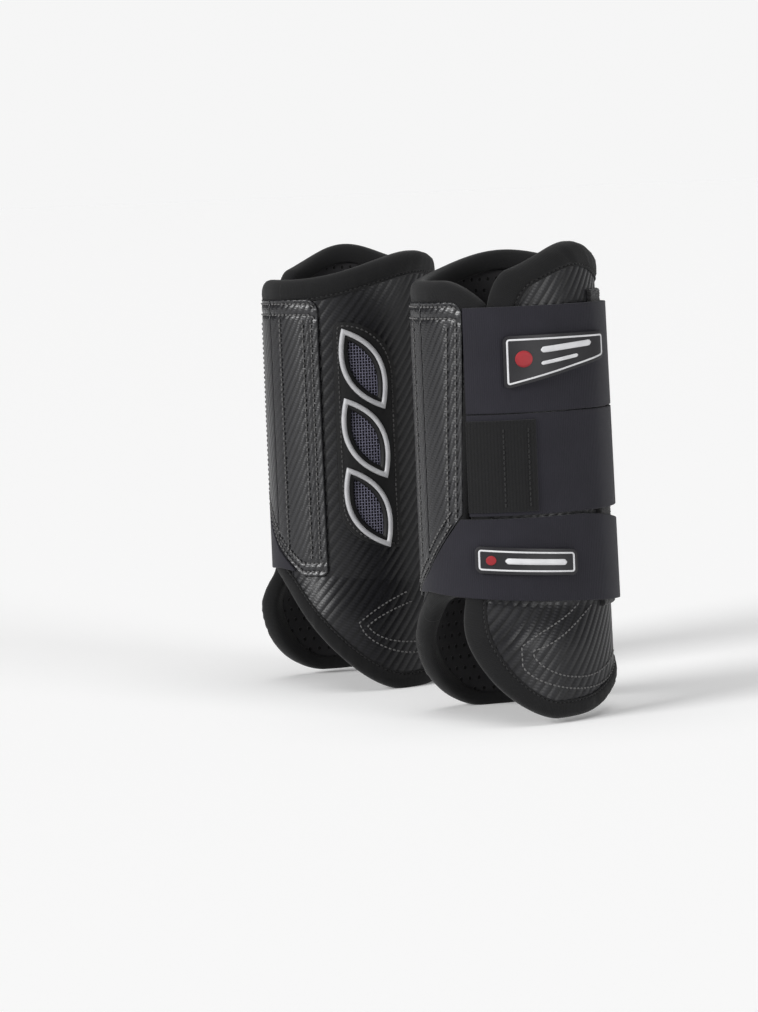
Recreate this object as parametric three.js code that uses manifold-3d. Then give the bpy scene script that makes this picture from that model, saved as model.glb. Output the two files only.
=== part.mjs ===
// A pair of horse tendon boots for the forelegs, closed, standing side by side as worn.
// Millimetres, +Z up. The horse faces -X; its left side is -Y. The origin lies midway between the two leg
// axes, level with the lowest edge of the boots.
//
// Each boot is built in its own frame, with the leg's axis as its Z axis and its outer side towards -Y.
// A place on a boot is an angle round the leg in degrees (0 at the front, 90 at the outer side, 180 at the
// back, 270 at the inner side), a height, and a distance out from the leg's surface.

import * as THREE from 'three';
import { mergeVertices } from 'three/addons/utils/BufferGeometryUtils.js';
import Module from 'manifold-3d';

const wasm = await Module();
wasm.setup();

// ---- The leg and the pair -------------------------------------------------------------------------------
const LEG_SPACING = 169;          // between the two leg axes
const FRONT_REACH = 41.3;         // leg axis to the front of the leg
const SIDE_REACH = 34;            // leg axis to the side of the leg
const BACK_REACH_LOW = 43.7;      // leg axis to the back of the leg, at the bottom of the boot
const BACK_TAPER = 0.0226;        // how much less that is for each millimetre up

// ---- The flare of the lower edge over the fetlock, one bulge for each lobe ----------------------------------
const OUTER_FLARE = { angle: 45, size: 10.7, frontReach: 55, backReach: 90 };
const INNER_FLARE = { angle: 310, size: 5.5, frontReach: 60, backReach: 80 };
const FLARE_TOP = 66.5;           // height at the front where the flare starts
const FLARE_FALL = 0.065;         // how much lower it starts for each degree round the leg
const FLARE_DEPTH = 24;           // height over which it grows

// ---- Layers, as distances out from the leg ----------------------------------------------------------------
const GAP = 0.3;                  // clearance between touching pieces
const LINING = 6;
const SHELL_IN = LINING + 0.6;       // room for the facets of two curved sheets
const SHELL_OUT = 8.4;
const PANEL_IN = SHELL_OUT + GAP;
const PANEL_OUT = PANEL_IN + 1.5;
const LOOP_OUT = 11;
const STRAP_IN = 9;
const STRAP_THICKNESS = 1.4;
const STRAP_IN_OVER_LOOP = 12;
const HOOK_IN = LOOP_OUT + GAP;
const HOOK_OUT = STRAP_IN_OVER_LOOP - GAP;

// ---- Outline of a boot ------------------------------------------------------------------------------------
const SEAM_GAP = 0.5;             // degrees on each side of a seam
const SLIT_LOW = 29.7;            // angle of the slit at its bottom end
const SLIT_HIGH = 50.4;           // and at its top end
const SLIT_GAP = 1.4;
const FLAP_HEM = 66;
const OUTER_LOBE_Z = 3;
const OUTER_LOBE_TOP = 65;        // where the lobe's front edge starts to round off
const OUTER_LOBE_ANGLE = 85;
const LOBE_ROUNDNESS = 1.65;
const INNER_LOBE_ANGLE = 267;
const BACK_HEM_RISE = 18;
const HEM_FRONT_ANGLE = 382;      // where the inner hem has climbed to the flap's hem
const TOP_MEAN = 232.4;
const TOP_WAVES = [-5.3, -3.6, 2.05];   // once, twice and three times round the leg
const TOP_CORNER_ANGLE = 66;
const TOP_CORNER_DROP = 28;
const OUTER_CREST = { angle: 108, rise: 4.2, reach: 45 };
const FLAP_TOP = 225.6;
const FLAP_TOP_DROP = 13;
const FLAP_ROUND_FROM = 15;

// ---- Widths of the edge binding ---------------------------------------------------------------------------
const BINDING_TOP = 11.5;
const BINDING_HEM = 8.5;
const BINDING_SLIT = 14.5;        // degrees
const FLAP_BINDING = 8.5;
const FLAP_BINDING_SLIT = 10;     // degrees
const BINDING_GAP = 0.8;          // between a binding's inner edge and the shell

// ---- Front panels -----------------------------------------------------------------------------------------
const PANEL_TOP = 216;
const INNER_PANEL_EDGE = 317;     // that is 43 degrees towards the inner side
const INNER_PANEL_LOW = 64;
const OUTER_PANEL_EDGE_LOW = 31;
const OUTER_PANEL_EDGE_HIGH = 35.6;
const PANEL_CORNER = 8.5;         // degrees over which the top corner rounds off
const PANEL_CORNER_DROP = 7;
const DIAGONAL_AT_SEAM = 79;      // height of the panels' lower edge at the front seam
const OUTER_DIAGONAL_SLOPE = 0.935;
const INNER_DIAGONAL_SLOPE = 0.62;

// ---- Vents ------------------------------------------------------------------------------------------------
const VENT_ANGLE = 289;           // that is 71 degrees towards the inner side
const VENT_HEIGHTS = { top: 177, middle: 139, bottom: 101 };
const VENT_RIM = 2.8;
const VENT_MESH_MARGIN = 1.2;
const VENT_MESH_THICKNESS = 0.8;
const LEAF_TIP = new THREE.Vector2(-11.3, 22.5);
const LEAF_BOW_1 = new THREE.Vector2(-16.5, 3);
const LEAF_BOW_2 = new THREE.Vector2(-12, -14.5);
const LEAF_STEPS = 5;
const SURROUND = { front: -15.9, back: 18.5, low: -61, high: 64, sweepBack: 32, sweepFront: 26 };
const SURROUND_THICKNESS = 0.8;
const RIM_THICKNESS = 1.8;
const VENT_BAND = { front: 24, back: 26, spare: 40 };   // a sheet that the surround and frames are cut from

// ---- Loop panel, strike plate -----------------------------------------------------------------------------
const LOOP_FROM = 126;
const LOOP_TO = 212;
const LOOP_LOW = 56;
const LOOP_HIGH = 219;
const PLATE_FROM = 106;
const PLATE_TO = 254;
const PLATE_LOW = 73;
const PLATE_HIGH = 206;
const PLATE_IN = 4.3;

// ---- Straps -----------------------------------------------------------------------------------------------
const STRAP_ROOT = 36.2;
const STRAP_TIP = 176;
const STRAP_RAMP_FROM = 96;       // the strap climbs onto the loop panel between these angles
const STRAP_RAMP_TO = 124;
const HOOK_TO = 174;
const TAB_TO = 77.5;
const STRAPS = {
  upper: { joint: 129.5, low: () => 159, high: () => 212.8, tipHigh: () => 212.2 },
  middle: { joint: 105, low: () => 107, high: () => 158.5, tipHigh: () => 158.2 },
  lower: { joint: 105, low: lowerStrapLow, high: () => 105.6, tipHigh: () => 98 },
};
const STRAP_ABOVE_FLARE = 1.2;    // the lower strap ends this far above the flare
const STRAP_HINGE_GAP = 0.4;      // degrees on each side of the hinge in a strap
const HOOK_MARGIN = 2;            // between the hook tab and the strap's edges
const HOOK_START = 4;             // degrees from the hinge, or from the loop panel's edge, to the hook tab
const TAB_LOW = 109;
const TAB_HIGH = 155.5;
const TAB_THICKNESS = 0.9;
const GUSSET_GAP = 1;             // between the gusset and the outer front panel's lower edge

// ---- Badges: the lower and upper edge at the front end and at the back end ---------------------------------
const BADGE_LIFT = 0.6;
const BADGE_THICKNESS = 1.1;
const BADGES = {
  upper: { from: 60, to: 127.5, low: [171, 184.5], high: [198, 198] },
  lower: { from: 40.5, to: 99, low: [80, 76], high: [90.5, 86] },
};

const COLUMN_STEP = 10;           // degrees between the columns of a wrapped sheet
const MAIN_COLUMNS = 28;
const ROUNDED_SHARE = 0.22;       // share of the main part's columns that go to its rounded edges by the slit
const FLAP_COLUMNS = 6;
const PANEL_COLUMNS = 8;
const FLARE_ROWS = 4;             // rows of a wrapped sheet through the flare
const LEAST_ROW = 0.2;            // and their least height, where the sheet ends within the flare

const MATERIALS = {
  neoprene: { color: 0x2a292c, roughness: 0.95, metalness: 0 },
  binding: { color: 0x262528, roughness: 0.9, metalness: 0 },
  carbon: { color: 0x2f2f31, roughness: 0.45, metalness: 0 },
  frontPanel: { color: 0x535255, roughness: 0.5, metalness: 0 },
  plate: { color: 0x1c1c1e, roughness: 0.6, metalness: 0 },
  surround: { color: 0x29292b, roughness: 0.55, metalness: 0 },
  rim: { color: 0xd5d6d8, roughness: 0.35, metalness: 0 },
  mesh: { color: 0x55556a, roughness: 0.8, metalness: 0 },
  loop: { color: 0x2b2b2d, roughness: 1, metalness: 0 },
  elastic: { color: 0x333238, roughness: 0.85, metalness: 0 },
  hook: { color: 0x1b1b1d, roughness: 0.7, metalness: 0 },
  tab: { color: 0x282829, roughness: 0.9, metalness: 0 },
  badge: { color: 0x3a3a3d, roughness: 0.6, metalness: 0 },
};

// ---- Helpers ----------------------------------------------------------------------------------------------
const lerp = THREE.MathUtils.lerp;
const smoothstep = THREE.MathUtils.smoothstep;
const rad = THREE.MathUtils.degToRad;

function ellipseDrop(x) {
  return 1 - Math.sqrt(Math.max(0, 1 - x * x));
}

// A bulge that falls from 1 at distance 0 to 0 at its reach.
function bulge(distance, reach) {
  return Math.abs(distance) < reach ? Math.cos((distance / reach) * (Math.PI / 2)) ** 2 : 0;
}

// An angle brought to the range from -180 to 180.
function wrapped(angle) {
  return THREE.MathUtils.euclideanModulo(angle + 180, 360) - 180;
}

function lobeFlare(lobe, angle) {
  const fromCentre = wrapped(angle - lobe.angle);
  const reach = (fromCentre > 0) === (lobe === OUTER_FLARE) ? lobe.backReach : lobe.frontReach;
  return lobe.size * bulge(fromCentre, reach);
}

function flareTop(angle) {
  return FLARE_TOP - FLARE_FALL * Math.abs(wrapped(angle));
}

// The point of a boot at an angle, a height and a distance out from the leg.
function onLeg(angle, z, out) {
  const t = rad(angle);
  const below = THREE.MathUtils.clamp((flareTop(angle) - z) / FLARE_DEPTH, 0, 1);
  const growth = 1 - (1 - below) ** 2;
  const flare = growth * (lobeFlare(OUTER_FLARE, angle) + lobeFlare(INNER_FLARE, angle));
  const reach = Math.cos(t) > 0 ? FRONT_REACH : BACK_REACH_LOW - BACK_TAPER * z;
  const x = -(lerp(reach, FRONT_REACH, Math.max(0, Math.cos(t))) + out + flare) * Math.cos(t);
  const y = -(SIDE_REACH + out + flare) * Math.sin(t);
  return new THREE.Vector3(x, y, z);
}

// The heights between a sheet's lower and upper edge where it bends: through the flare, and part of the
// way up where its side edges lean. Each is a function of the column's lowest and highest point.
function bendsOf(bottom, top) {
  const lowest = Math.min(...[0, 0.1, 0.25, 0.5, 0.75, 1].map((u) => bottom(u).z));
  const bends = [];
  for (let i = 0; i <= FLARE_ROWS; i += 1) {
    const down = FLARE_DEPTH * (1 - i / FLARE_ROWS);
    if (FLARE_TOP - down > lowest + 1) {
      const least = (bends.length + 1) * LEAST_ROW;
      bends.push((low) => Math.max(flareTop(low.angle) - down, low.z + least));
    }
  }
  if (bottom(0).angle !== top(0).angle) {
    bends.push((low, high) => lerp(low.z, high.z, 0.55), (low, high) => lerp(low.z, high.z, 0.78));
  }
  return bends;
}

// A closed sheet wrapped round the leg. bottom(u) and top(u) give its lower and upper edge as
// { angle, z } for u from 0 to 1, and inner and outer its two faces, as distances or functions of the angle.
function sheet({ bottom, top, inner, outer, columns }) {
  const heights = [(low) => low.z, ...bendsOf(bottom, top), (low, high) => high.z];
  const geometry = new THREE.BoxGeometry(1, 1, 1, columns, heights.length - 1, 1);
  const place = geometry.attributes.position;
  for (let i = 0; i < place.count; i += 1) {
    const u = place.getX(i) + 0.5;
    const row = Math.round((place.getY(i) + 0.5) * (heights.length - 1));
    const low = bottom(u);
    const high = top(u);
    const z = heights[row](low, high);
    const angle = lerp(low.angle, high.angle, (z - low.z) / (high.z - low.z));
    const face = place.getZ(i) > 0 ? outer : inner;
    const point = onLeg(angle, z, typeof face === 'function' ? face(angle) : face);
    place.setXYZ(i, point.x, point.y, point.z);
  }
  return geometry;
}

// A sheet with straight side edges: low and high are its edges as functions of the angle.
function band({ from, to, low, high, inner, outer }) {
  const columns = Math.max(1, Math.ceil((to - from) / COLUMN_STEP));
  const edge = (height) => (u) => {
    const angle = lerp(from, to, u);
    return { angle, z: height(angle) };
  };
  return sheet({ bottom: edge(low), top: edge(high), inner, outer, columns });
}

function toSolid(geometry) {
  const bare = geometry.clone();
  bare.deleteAttribute('normal');
  bare.deleteAttribute('uv');
  const merged = mergeVertices(bare, 1e-4);
  return new wasm.Manifold(new wasm.Mesh({
    numProp: 3,
    vertProperties: new Float32Array(merged.attributes.position.array),
    triVerts: new Uint32Array(merged.index.array),
  }));
}

function toGeometry(solid) {
  const mesh = solid.getMesh();
  const geometry = new THREE.BufferGeometry();
  geometry.setAttribute('position', new THREE.BufferAttribute(mesh.vertProperties, 3));
  geometry.setIndex(new THREE.BufferAttribute(mesh.triVerts, 1));
  return geometry;
}

function cut(geometry, ...tools) {
  let solid = toSolid(geometry);
  for (const tool of tools) {
    solid = solid.subtract(toSolid(tool));
  }
  return toGeometry(solid);
}

function intersect(geometry, tool) {
  return toGeometry(toSolid(geometry).intersect(toSolid(tool)));
}

// ---- Outline of the main part -----------------------------------------------------------------------------
function mainHem(angle) {
  if (angle > INNER_LOBE_ANGLE) {
    const climb = (angle - INNER_LOBE_ANGLE) / (HEM_FRONT_ANGLE - INNER_LOBE_ANGLE);
    return FLAP_HEM * (1 - Math.cos(Math.PI * climb)) / 2;
  }
  const along = (angle - OUTER_LOBE_ANGLE) / (INNER_LOBE_ANGLE - OUTER_LOBE_ANGLE);
  return lerp(OUTER_LOBE_Z, 0, along) + BACK_HEM_RISE * Math.sin(Math.PI * along) ** 3;
}

// The hem raised by a width measured square to the edge.
function raisedHem(angle, width) {
  const step = 1;
  const run = onLeg(angle, 0, SHELL_OUT).distanceTo(onLeg(angle + step, 0, SHELL_OUT));
  const slope = (mainHem(angle + step) - mainHem(angle)) / run;
  return mainHem(angle) + width * Math.hypot(1, slope);
}

// Height of the main part's top edge, but for its corner at the slit.
function mainTop(angle) {
  const waves = TOP_WAVES.reduce((sum, size, i) => sum + size * Math.cos(rad(angle) * (i + 1)), TOP_MEAN);
  return waves + OUTER_CREST.rise * bulge(angle - OUTER_CREST.angle, OUTER_CREST.reach);
}

// The main part's outline, drawn in by the binding's widths times `inset`, up to the angle `end`.
function mainOutline(inset, end, margin = 0) {
  const slitLow = SLIT_LOW + inset * BINDING_SLIT - margin;
  const slitHigh = SLIT_HIGH + inset * BINDING_SLIT - margin;
  const hemWidth = inset * BINDING_HEM - margin;
  const power = 2 / LOBE_ROUNDNESS;
  const bottom = (u) => {
    if (u < ROUNDED_SHARE) {
      const turn = (u / ROUNDED_SHARE) * (Math.PI / 2);
      const lobeLow = OUTER_LOBE_Z + hemWidth;
      return {
        angle: OUTER_LOBE_ANGLE - (OUTER_LOBE_ANGLE - slitLow) * Math.cos(turn) ** power,
        z: OUTER_LOBE_TOP - (OUTER_LOBE_TOP - lobeLow) * Math.sin(turn) ** power,
      };
    }
    const angle = lerp(OUTER_LOBE_ANGLE, end, (u - ROUNDED_SHARE) / (1 - ROUNDED_SHARE));
    return { angle, z: raisedHem(angle, hemWidth) };
  };
  const cornerEnd = TOP_CORNER_ANGLE + inset * BINDING_SLIT - margin;
  const top = (u) => {
    const turn = Math.min(1, u / ROUNDED_SHARE) * (Math.PI / 2);
    const angle = u < ROUNDED_SHARE
      ? cornerEnd - (cornerEnd - slitHigh) * Math.cos(turn)
      : lerp(cornerEnd, end, (u - ROUNDED_SHARE) / (1 - ROUNDED_SHARE));
    const corner = TOP_CORNER_DROP * (1 - Math.sin(turn));
    return { angle, z: mainTop(angle) - corner - inset * BINDING_TOP + margin };
  };
  return { bottom, top, columns: MAIN_COLUMNS };
}

// ---- Outline of the front flap ----------------------------------------------------------------------------
function flapOutline(inset, start, margin = 0) {
  const endLow = SLIT_LOW - SLIT_GAP - inset * FLAP_BINDING_SLIT + margin;
  const endHigh = SLIT_HIGH - SLIT_GAP - inset * FLAP_BINDING_SLIT + margin;
  const hem = (angle) => (angle < HEM_FRONT_ANGLE - 360 ? mainHem(angle + 360) : FLAP_HEM);
  const bottom = (u) => {
    const angle = lerp(start, endLow, u);
    return { angle, z: hem(angle) + inset * FLAP_BINDING - margin };
  };
  const top = (u) => {
    const angle = lerp(start, endHigh, u);
    const into = Math.max(0, angle - FLAP_ROUND_FROM) / (SLIT_HIGH - FLAP_ROUND_FROM);
    return { angle, z: FLAP_TOP - FLAP_TOP_DROP * into ** 2 - inset * FLAP_BINDING + margin };
  };
  return { bottom, top, columns: FLAP_COLUMNS };
}

// ---- Vents ------------------------------------------------------------------------------------------------
// The vent's leaf outline, counter-clockwise: a bowed side and the same side turned half round.
function leafPoints() {
  const side = new THREE.CubicBezierCurve(LEAF_TIP, LEAF_BOW_1, LEAF_BOW_2, LEAF_TIP.clone().negate());
  const points = side.getPoints(LEAF_STEPS).slice(0, LEAF_STEPS);
  return [...points, ...points.map((point) => point.clone().negate())];
}

// A closed counter-clockwise outline moved inwards by a width.
function drawnIn(points, width) {
  return points.map((point, i) => {
    const before = points[(i + points.length - 1) % points.length];
    const after = points[(i + 1) % points.length];
    const first = point.clone().sub(before).normalize();
    const second = after.clone().sub(point).normalize();
    const bisector = new THREE.Vector2(-first.y - second.y, first.x + second.x).normalize();
    const reach = width / Math.max(0.3, bisector.dot(new THREE.Vector2(-first.y, first.x)));
    return point.clone().addScaledVector(bisector, reach);
  });
}

// A straight prism through the boot's wall, square to the vents, from an outline in the vents' plane.
function ventPrism(points, z) {
  const depth = 4 * LINING;
  const geometry = new THREE.ExtrudeGeometry(new THREE.Shape(points), { depth, bevelEnabled: false });
  const centre = onLeg(VENT_ANGLE, z, LINING);
  const behind = onLeg(VENT_ANGLE + 1, z, LINING);
  const up = new THREE.Vector3(0, 0, 1);
  const backwards = onLeg(VENT_ANGLE - 1, z, LINING).sub(behind).normalize();
  const outwards = new THREE.Vector3().crossVectors(backwards, up);
  const turn = new THREE.Matrix4().makeBasis(backwards, up, outwards);
  turn.setPosition(centre.addScaledVector(outwards, -depth / 2));
  return geometry.applyMatrix4(turn);
}

function leafPrisms(width) {
  return Object.values(VENT_HEIGHTS).map((z) => ventPrism(drawnIn(leafPoints(), width), z));
}

// The surround's outline: an upright strip with its upper back and lower front corners swept round.
function surroundPoints() {
  const s = SURROUND;
  const shape = new THREE.Shape();
  shape.moveTo(s.front + 3, s.high);
  shape.bezierCurveTo(s.front, s.high - 1, s.front, s.high - 4, s.front, s.high - 8);
  shape.lineTo(s.front, s.low + s.sweepFront);
  shape.bezierCurveTo(s.front, s.low + 8, 0, s.low + 1, s.back - 3, s.low);
  shape.bezierCurveTo(s.back, s.low, s.back, s.low + 2, s.back, s.low + 4);
  shape.lineTo(s.back, s.high - s.sweepBack);
  shape.bezierCurveTo(s.back, s.high - 10, 2, s.high + 1, s.front + 3, s.high);
  return shape.getPoints(5).slice(0, -1);
}

function ventBand(inner, outer) {
  return band({
    from: VENT_ANGLE - VENT_BAND.back,
    to: VENT_ANGLE + VENT_BAND.front,
    low: () => VENT_HEIGHTS.bottom - VENT_BAND.spare,
    high: () => VENT_HEIGHTS.top + VENT_BAND.spare,
    inner,
    outer,
  });
}

// ---- The pieces of one boot -------------------------------------------------------------------------------
const pieces = {};

// The tool that clears a binding's inside runs past the shell's faces, and past the front seam by an angle.
const THROUGH_SHELL = { inner: SHELL_IN - 1.8, outer: SHELL_OUT + 1.8 };
const CUTTER_PAST_SEAM = 6;

function addMainLayers() {
  const end = 360 - SEAM_GAP;
  const plateRoom = band({
    from: PLATE_FROM - SEAM_GAP,
    to: PLATE_TO + SEAM_GAP,
    low: () => PLATE_LOW - GAP,
    high: () => PLATE_HIGH + GAP,
    inner: PLATE_IN - GAP,
    outer: SHELL_OUT,
  });
  const windows = leafPrisms(VENT_RIM);
  const lining = sheet({ ...mainOutline(0, end), inner: 0, outer: LINING });
  pieces.main_lining = { material: 'neoprene', geometry: cut(lining, plateRoom, ...windows) };
  pieces.strike_plate = {
    material: 'plate',
    geometry: band({
      from: PLATE_FROM,
      to: PLATE_TO,
      low: () => PLATE_LOW,
      high: () => PLATE_HIGH,
      inner: PLATE_IN,
      outer: LINING,
    }),
  };
  const shell = sheet({ ...mainOutline(1, end), inner: SHELL_IN, outer: SHELL_OUT });
  const meshRoom = leafPrisms(VENT_RIM - VENT_MESH_MARGIN - GAP);
  pieces.carbon_shell = { material: 'carbon', geometry: cut(shell, ...meshRoom) };
  const border = sheet({ ...mainOutline(0, end), inner: SHELL_IN, outer: SHELL_OUT });
  const inside = sheet({ ...mainOutline(1, end + CUTTER_PAST_SEAM, BINDING_GAP), ...THROUGH_SHELL });
  pieces.main_binding = { material: 'binding', geometry: cut(border, inside) };
}

function addFlapLayers() {
  const start = SEAM_GAP;
  const lining = sheet({ ...flapOutline(0, start), inner: 0, outer: LINING });
  pieces.flap_lining = { material: 'neoprene', geometry: lining };
  const shell = sheet({ ...flapOutline(1, start), inner: SHELL_IN, outer: SHELL_OUT });
  pieces.flap_shell = { material: 'carbon', geometry: shell };
  const border = sheet({ ...flapOutline(0, start), inner: SHELL_IN, outer: SHELL_OUT });
  const inside = sheet({ ...flapOutline(1, start - CUTTER_PAST_SEAM, BINDING_GAP), ...THROUGH_SHELL });
  pieces.flap_binding = { material: 'binding', geometry: cut(border, inside) };
}

function addFrontPanels() {
  const innerLow = (angle) => {
    const diagonal = DIAGONAL_AT_SEAM + INNER_DIAGONAL_SLOPE * (angle - 360);
    return Math.max(INNER_PANEL_LOW, diagonal);
  };
  const innerHigh = (angle) => {
    const into = Math.max(0, INNER_PANEL_EDGE + PANEL_CORNER - angle) / PANEL_CORNER;
    return PANEL_TOP - PANEL_CORNER_DROP * ellipseDrop(into);
  };
  pieces.inner_front_panel = {
    material: 'frontPanel',
    geometry: band({
      from: INNER_PANEL_EDGE,
      to: 360 - SEAM_GAP,
      low: innerLow,
      high: innerHigh,
      inner: PANEL_IN,
      outer: PANEL_OUT,
    }),
  };
  const bottom = (u) => {
    const angle = lerp(SEAM_GAP, OUTER_PANEL_EDGE_LOW, u);
    return { angle, z: DIAGONAL_AT_SEAM + OUTER_DIAGONAL_SLOPE * angle };
  };
  const top = (u) => {
    const angle = lerp(SEAM_GAP, OUTER_PANEL_EDGE_HIGH, u);
    const into = Math.max(0, angle - OUTER_PANEL_EDGE_HIGH + PANEL_CORNER) / PANEL_CORNER;
    return { angle, z: PANEL_TOP - PANEL_CORNER_DROP * ellipseDrop(into) };
  };
  pieces.outer_front_panel = {
    material: 'frontPanel',
    geometry: sheet({ bottom, top, inner: PANEL_IN, outer: PANEL_OUT, columns: PANEL_COLUMNS }),
  };
}

function addVents() {
  const plate = ventBand(PANEL_IN, PANEL_IN + SURROUND_THICKNESS);
  const outline = ventPrism(surroundPoints(), VENT_HEIGHTS.middle);
  pieces.vent_surround = {
    material: 'surround',
    geometry: cut(intersect(plate, outline), ...leafPrisms(VENT_RIM)),
  };
  const rimIn = PANEL_IN + SURROUND_THICKNESS + GAP;
  for (const [name, z] of Object.entries(VENT_HEIGHTS)) {
    const outer = ventPrism(leafPoints(), z);
    const inner = ventPrism(drawnIn(leafPoints(), VENT_RIM), z);
    const rim = intersect(ventBand(rimIn, rimIn + RIM_THICKNESS), outer);
    pieces[`vent_frame_${name}`] = { material: 'rim', geometry: cut(rim, inner) };
    const meshArea = ventPrism(drawnIn(leafPoints(), VENT_RIM - VENT_MESH_MARGIN), z);
    pieces[`vent_mesh_${name}`] = {
      material: 'mesh',
      geometry: intersect(ventBand(SHELL_IN, SHELL_IN + VENT_MESH_THICKNESS), meshArea),
    };
  }
}

function addLoopPanel() {
  pieces.loop_panel = {
    material: 'loop',
    geometry: band({
      from: LOOP_FROM,
      to: LOOP_TO,
      low: () => LOOP_LOW,
      high: () => LOOP_HIGH,
      inner: PANEL_IN,
      outer: LOOP_OUT,
    }),
  };
}

function lowerStrapLow(angle) {
  return flareTop(angle) + STRAP_ABOVE_FLARE;
}

// Distance out of a strap's inner face: low over the shell, higher over the loop panel.
function strapInner(angle) {
  return lerp(STRAP_IN, STRAP_IN_OVER_LOOP, smoothstep(angle, STRAP_RAMP_FROM, STRAP_RAMP_TO));
}

function strapOuter(angle) {
  return strapInner(angle) + STRAP_THICKNESS;
}

function onStrap(distance) {
  return (angle) => strapOuter(angle) + distance;
}

function addStraps() {
  for (const [name, strap] of Object.entries(STRAPS)) {
    const faces = { inner: strapInner, outer: strapOuter };
    pieces[`strap_${name}`] = {
      material: 'elastic',
      geometry: band({
        from: STRAP_ROOT,
        to: strap.joint - STRAP_HINGE_GAP,
        low: strap.low,
        high: strap.high,
        ...faces,
      }),
    };
    pieces[`strap_${name}_end`] = {
      material: 'elastic',
      geometry: band({
        from: strap.joint + STRAP_HINGE_GAP,
        to: STRAP_TIP,
        low: strap.low,
        high: strap.tipHigh,
        ...faces,
      }),
    };
    pieces[`hook_tab_${name}`] = {
      material: 'hook',
      geometry: band({
        from: Math.max(strap.joint, LOOP_FROM) + HOOK_START,
        to: HOOK_TO,
        low: (angle) => strap.low(angle) + HOOK_MARGIN,
        high: (angle) => strap.tipHigh(angle) - HOOK_MARGIN,
        inner: HOOK_IN,
        outer: HOOK_OUT,
      }),
    };
  }
  pieces.strap_anchor_tab = {
    material: 'tab',
    geometry: band({
      from: STRAP_ROOT,
      to: TAB_TO,
      low: () => TAB_LOW,
      high: () => TAB_HIGH,
      inner: onStrap(GAP),
      outer: onStrap(GAP + TAB_THICKNESS),
    }),
  };
  const gussetHigh = (angle) => {
    const diagonal = DIAGONAL_AT_SEAM + OUTER_DIAGONAL_SLOPE * angle - GUSSET_GAP;
    return Math.min(STRAPS.lower.high(), diagonal);
  };
  pieces.strap_lower_gusset = {
    material: 'elastic',
    geometry: band({
      from: SEAM_GAP,
      to: STRAP_ROOT - SEAM_GAP,
      low: lowerStrapLow,
      high: gussetHigh,
      inner: STRAP_IN,
      outer: STRAP_IN + STRAP_THICKNESS,
    }),
  };
}

function addBadges() {
  for (const [name, badge] of Object.entries(BADGES)) {
    const edge = (heights) => (angle) => THREE.MathUtils.mapLinear(angle, badge.from, badge.to, ...heights);
    pieces[`badge_${name}`] = {
      material: 'badge',
      geometry: band({
        from: badge.from,
        to: badge.to,
        low: edge(badge.low),
        high: edge(badge.high),
        inner: onStrap(BADGE_LIFT),
        outer: onStrap(BADGE_LIFT + BADGE_THICKNESS),
      }),
    };
  }
}

addMainLayers();
addFlapLayers();
addFrontPanels();
addVents();
addLoopPanel();
addStraps();
addBadges();

// ---- The pair ---------------------------------------------------------------------------------------------
function boot(side) {
  const group = new THREE.Group();
  for (const [name, piece] of Object.entries(pieces)) {
    const mesh = new THREE.Mesh(piece.geometry, new THREE.MeshStandardMaterial(MATERIALS[piece.material]));
    mesh.name = `${side}_${name}`;
    group.add(mesh);
  }
  return group;
}

const leftBoot = boot('left');
leftBoot.position.y = -LEG_SPACING / 2;
const rightBoot = boot('right');
rightBoot.position.y = LEG_SPACING / 2;
rightBoot.scale.y = -1;           // the right boot is the left one's mirror image

const pair = new THREE.Group();
pair.name = 'tendon_boots';
pair.add(leftBoot, rightBoot);

export default pair;
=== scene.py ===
import math

import bmesh
import bpy
import numpy as np
from mathutils import Matrix, Vector


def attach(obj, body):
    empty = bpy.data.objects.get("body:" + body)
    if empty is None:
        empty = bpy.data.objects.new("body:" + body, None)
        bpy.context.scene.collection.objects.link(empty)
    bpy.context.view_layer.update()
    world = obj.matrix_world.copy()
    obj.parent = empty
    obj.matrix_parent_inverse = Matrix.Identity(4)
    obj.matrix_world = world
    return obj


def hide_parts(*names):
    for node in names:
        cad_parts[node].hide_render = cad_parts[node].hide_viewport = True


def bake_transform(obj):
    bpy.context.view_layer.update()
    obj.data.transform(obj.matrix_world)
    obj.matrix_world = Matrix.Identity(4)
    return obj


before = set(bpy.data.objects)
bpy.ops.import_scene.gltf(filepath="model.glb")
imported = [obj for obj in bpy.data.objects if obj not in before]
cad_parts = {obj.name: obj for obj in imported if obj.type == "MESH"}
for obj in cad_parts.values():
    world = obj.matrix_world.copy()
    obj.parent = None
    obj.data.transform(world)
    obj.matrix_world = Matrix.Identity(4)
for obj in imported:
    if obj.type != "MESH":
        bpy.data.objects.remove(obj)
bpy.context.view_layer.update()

# A place on a boot is an angle round the leg in degrees (0 at the front, 90 at the outer side, 180 at
# the back, 270 at the inner side), a height, and a distance out from the leg, both in millimetres.
MM = 0.001
SIDES = ("left", "right")

# ---- The leg and the pair ----
LEG_SPACING = 169.0
FRONT_REACH = 41.3
SIDE_REACH = 34.0
BACK_REACH_LOW = 43.7
BACK_TAPER = 0.0226
OUTER_FLARE = {"angle": 45.0, "size": 10.7, "front": 55.0, "back": 90.0, "turn": 1}
INNER_FLARE = {"angle": 310.0, "size": 5.5, "front": 60.0, "back": 80.0, "turn": -1}
FLARE_TOP = 66.5
FLARE_FALL = 0.065
FLARE_DEPTH = 24.0
FLARE_EASE = 0.1                  # how softly the flare starts

# ---- Layers, as distances out from the leg ----
LINING_IN = 0.4
LINING_OUT = 6.2
SHELL_IN = 6.6
SHELL_OUT = 8.4
PANEL_OUT = 10.2
LOOP_OUT = 10.8
STRAP_IN = 9.0
STRAP_THICKNESS = 1.4
STRAP_IN_OVER_LOOP = 12.0

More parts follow.
